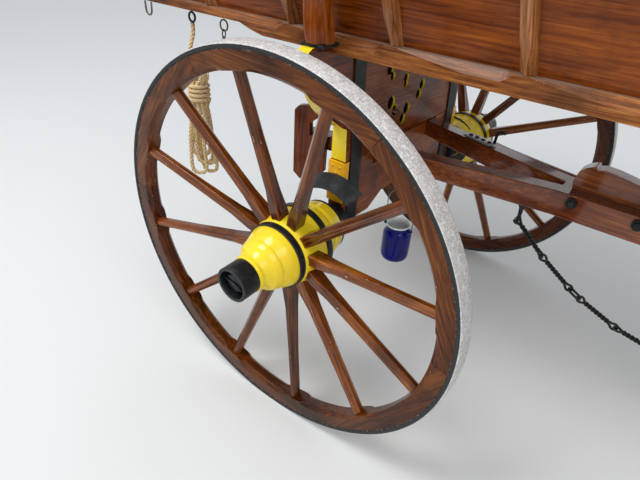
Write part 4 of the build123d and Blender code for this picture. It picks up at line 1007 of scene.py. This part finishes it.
# %% Pot and bail
pot_middle = from_rear(0.146, -0.208, 0)
pot_low, pot_high, white_above, floor_thick = 0.448, 0.15, 0.1435, 0.02
pot_shape = bmesh.new()
pot_outline = [
    # radius, height above the foot
    (0.0, 0.0), (0.038, 0.0), (0.0465, 0.003), (0.0515, 0.01), (0.0535, 0.02), (0.054, 0.03), (0.054, 0.104),
    (0.053, 0.113), (0.05, 0.121), (0.0455, 0.127), (0.043, 0.131), (0.0425, 0.143), (0.0448, 0.1475),
    (0.0438, 0.1498), (0.0412, 0.1488), (0.04, 0.143), (0.0405, 0.131), (0.048, 0.118), (0.051, 0.102),
    (0.051, 0.02), (0.048, 0.006), (0.0, 0.004),
]
spin_outline(pot_shape, [pot_middle + Vector((r, 0, pot_low + h)) for r, h in pot_outline], pot_middle, (0, 0, 1), 48)
tidied(pot_shape)
for face in pot_shape.faces:
    middle = face.calc_center_median() - pot_middle
    inward = Vector((middle.x, middle.y, 0)).dot(face.normal) < 0
    floor_inside = face.normal.z > 0.5 and middle.z < pot_low + floor_thick
    face.material_index = 1 if middle.z > pot_low + white_above or inward or floor_inside else 0

for side in (-1, 1):
    ear_place = Matrix.Translation(pot_middle + Vector((side * 0.052, 0, pot_low + 0.134)))
    ear = bmesh.ops.create_cube(pot_shape, size=1.0, matrix=ear_place @ Matrix.Diagonal((0.016, 0.01, 0.01, 1)))
    round_edges(pot_shape, edges_of(ear), 0.002)
finish_piece("enamel_pot", pot_shape, "wagon", "blue_enamel", ["blue_enamel", "white_enamel"], ["grease_pot"])

bail_half, hook_height, ear_drop, leg = 0.0575, 0.7383, 0.012, 0.04
bail_foot = pot_low + pot_high - ear_drop
turns = [pi * (1 - step / 14) for step in range(15)]
bend = [(bail_half * cos(turn), hook_height - bail_half + bail_half * sin(turn)) for turn in turns]
rear_leg = [(-bail_half, bail_foot), (-bail_half, bail_foot + leg)]
front_leg = [(bail_half, bail_foot + leg), (bail_half, bail_foot)]
bail = bmesh.new()
sweep_round(bail, [pot_middle + Vector((across, 0, high)) for across, high in rear_leg + bend + front_leg], 0.0022, 8)
bmesh.ops.recalc_face_normals(bail, faces=bail.faces)
finish_piece("wire_bail", bail, "wagon", "black_iron", ["pale_steel"], ["pot_bail"])
print("pot and bail made")

# %% [markdown]
# ## Small irons
# Round-headed rivets hold the yellow plates, domed bolts go through the tongue, a pale plate lies on the far hound,
# a staple and a small ring hang under the sill. Each is a short turned or bent piece, and like ones share an object.

# %% Rivets, rings and plates
def dome(shape, place, facing, radius, height, sides=14):
    """A turned rivet or bolt head standing on a face."""
    facing = Vector(facing).normalized()
    side = facing.orthogonal().normalized()
    steps = [(1.0, 0.0), (1.0, 0.18), (0.9, 0.52), (0.66, 0.82), (0.34, 0.97), (0.0, 1.0)]
    spin_outline(shape, [place + side * radius * r + facing * height * h for r, h in steps], place, facing, sides)


def oval_line(centre, across, wide, high, steps):
    """Points round an upright ring."""
    turns = [tau * step / steps for step in range(steps)]
    return [centre + across * wide * cos(turn) + Vector((0, 0, high * sin(turn))) for turn in turns]


rivets = bmesh.new()
for side in (-1, 1):
    for along, high in ((-0.026, 0.853), (0.006, 0.853), (-0.01, 0.83), (-0.026, 0.76), (0.006, 0.762)):
        dome(rivets, from_rear(along, side * 0.4219, high), (0, side, 0), 0.0062, 0.0032)
finish_piece("plate_rivets", tidied(rivets), "wagon", "yellow_plate")

bolts = bmesh.new()
for along in (0.671, 0.866, 1.24):
    for side in (-1, 1):
        dome(bolts, from_rear(along, side * 0.0849, 0.832), (0, side, 0), 0.0135, 0.007, 18)
for along in (0.222, 0.25, 0.278, 0.306):
    dome(bolts, from_rear(along, 0.134 - (along - 0.222) * 0.285, 0.8745), (0, 0, 1), 0.0085, 0.0045)
hook = ((0.322, 0.118, 0.872), (0.324, 0.119, 0.9), (0.327, 0.12, 0.914), (0.338, 0.124, 0.92), (0.352, 0.129, 0.915))
sweep_round(bolts, [from_rear(*point) for point in hook], 0.0055, 8)
finish_piece("bolt_heads", tidied(bolts), "wagon", "black_iron")

hound_plate = bmesh.new()
lying = Matrix.Translation(from_rear(0.264, 0.122, 0.8721)) @ Matrix.Rotation(atan2(-0.285, 1), 4, "Z")
bmesh.ops.create_cube(hound_plate, size=1.0, matrix=lying @ Matrix.Diagonal((0.125, 0.046, 0.004, 1)))
round_edges(hound_plate, hound_plate.edges[:], 0.0012)
finish_piece("hound_plate", hound_plate, "wagon", "black_iron", ["pale_steel"])

small = bmesh.new()
turns = [pi * (1 + step / 8) for step in range(9)]
bend = [(-0.832 + 0.016 * cos(turn), 1.232 + 0.016 * sin(turn)) for turn in turns]
staple = [(-0.85, 1.262), (-0.849, 1.24), *bend, (-0.815, 1.24), (-0.814, 1.262)]
sweep_round(small, [from_rear(along, -0.5035, high) for along, high in staple], 0.0035, 8)
ahead, aside = Vector((1, 0, 0)), Vector((0, 1, 0))
sweep_round(small, oval_line(from_rear(-0.497, -0.45, 1.226), ahead, 0.018, 0.018, 20), 0.003, 7, closed=True)
for number in range(3):
    centre = from_rear(-0.499, -0.45, 1.198 - 0.022 * number)
    sweep_round(small, oval_line(centre, ahead if number % 2 else aside, 0.007, 0.014, 16), 0.0022, 6, closed=True)
finish_piece("staple_and_ring", tidied(small), "wagon", "black_iron", ["bare_iron"])

loop_ring = bmesh.new()
ring_centre = from_rear(-0.66, -0.45, 1.208 + 0.0003 + 0.02)
sweep_round(loop_ring, oval_line(ring_centre, ahead, 0.016, 0.016, 24), 0.004, 8, closed=True)
sweep_round(loop_ring, [ring_centre + Vector((0, 0, 0.016)), ring_centre + Vector((0, 0, 0.034))], 0.004, 8)
finish_piece("rope_eye", tidied(loop_ring), "wagon", "black_iron", nodes=["rope_ring"])

# %% [markdown]
# Inside each nose band sits the nut that keeps the wheel on its arm, with a split pin through it and grease over it.
# They don't turn with the wheel: they belong to the arm. The nut is a six-sided prism with eased corners.

# %% Axle nuts
for carriage, half in (("wagon", "rear"), ("front_carriage", "front")):
    nuts = bmesh.new()
    for wheel in (half + "_right_wheel", half + "_left_wheel"):
        centre, out, up = axle_line(wheel)
        turn = out.to_track_quat("Z", "Y").to_matrix().to_4x4()
        made = bmesh.ops.create_cone(
            nuts, cap_ends=True, segments=6, radius1=0.034, radius2=0.034, depth=0.015,
            matrix=Matrix.Translation(centre + out * 0.1255) @ turn,
        )
        round_edges(nuts, edges_of(made), 0.0025)
        side = out.cross(up)
        pin = ((0.1355, 0.033, 0.006), (0.1365, 0.012, 0.002), (0.1365, -0.014, -0.003), (0.136, -0.032, -0.012))
        sweep_round(nuts, [centre + out * along + side * aside + up * high for along, aside, high in pin], 0.0035, 7)
        grease = [(0.133, 0.0), (0.1335, 0.016), (0.133, 0.024), (0.131, 0.03), (0.129, 0.0)]
        spin_outline(nuts, on_wheel(wheel, grease), centre, out, 24)
    finish_piece(carriage + "_axle_nuts", tidied(nuts), carriage, "black_iron")
print("small irons made")

# %% [markdown]
# ## Light and floor
# A pale floor that meets a pale sky, one large soft lamp to the left of the camera with a weaker one to its right, and
# a faintly blue world, as under an open sky. The world looks nearly white to the camera, to glossy surfaces and through
# clear ones only, so the wood is lit at a plain level and the floor keeps the wagon's shadow.

# %% Stage
floor_shape = bmesh.new()
bmesh.ops.create_grid(floor_shape, x_segments=1, y_segments=1, size=40)
floor_mesh = bpy.data.meshes.new("floor")
floor_shape.to_mesh(floor_mesh)
floor_shape.free()
floor = placed("floor", floor_mesh)
pale = Finish("pale_floor", roughness=0.9, specular=0.2)
pale.shader.inputs["Base Color"].default_value = (0.74, 0.74, 0.73, 1)
floor_mesh.materials.append(pale.material)

world = bpy.data.worlds.new("open_sky")
bpy.context.scene.world = world
world.use_nodes = True
tree = world.node_tree
seen = tree.nodes.new("ShaderNodeBackground")
for background, colour, strength in (
    (tree.nodes["Background"], (0.9, 0.95, 1.0, 1), 0.8), (seen, (0.95, 0.97, 1.0, 1), 0.95),
):
    background.inputs[0].default_value = colour
    background.inputs[1].default_value = strength


def larger(first, second):
    """A socket with the larger of two values."""
    node = tree.nodes.new("ShaderNodeMath")
    node.operation = "MAXIMUM"
    tree.links.new(first, node.inputs[0])
    tree.links.new(second, node.inputs[1])
    return node.outputs[0]


rays = tree.nodes.new("ShaderNodeLightPath").outputs
blend = tree.nodes.new("ShaderNodeMixShader")
shown = larger(larger(rays["Is Camera Ray"], rays["Is Glossy Ray"]), rays["Is Transmission Ray"])
for place, output in enumerate((shown, tree.nodes["Background"].outputs[0], seen.outputs[0])):
    tree.links.new(output, blend.inputs[place])
tree.links.new(blend.outputs[0], tree.nodes["World Output"].inputs[0])


def soft_lamp(name, place, target, size, energy):
    lamp = bpy.data.lights.new(name, "AREA")
    lamp.size = size
    lamp.energy = energy
    holder = placed(name, lamp)
    holder.location = place
    holder.rotation_euler = (Vector(target) - Vector(place)).to_track_quat("-Z", "Y").to_euler()


soft_lamp("large_lamp", (-4.2, -2.8, 5.6), (-2.2, 0, 0.7), 2.2, 170)
soft_lamp("fill_lamp", (1.6, -2.8, 5.0), (-1.8, 0, 0.8), 3.0, 90)
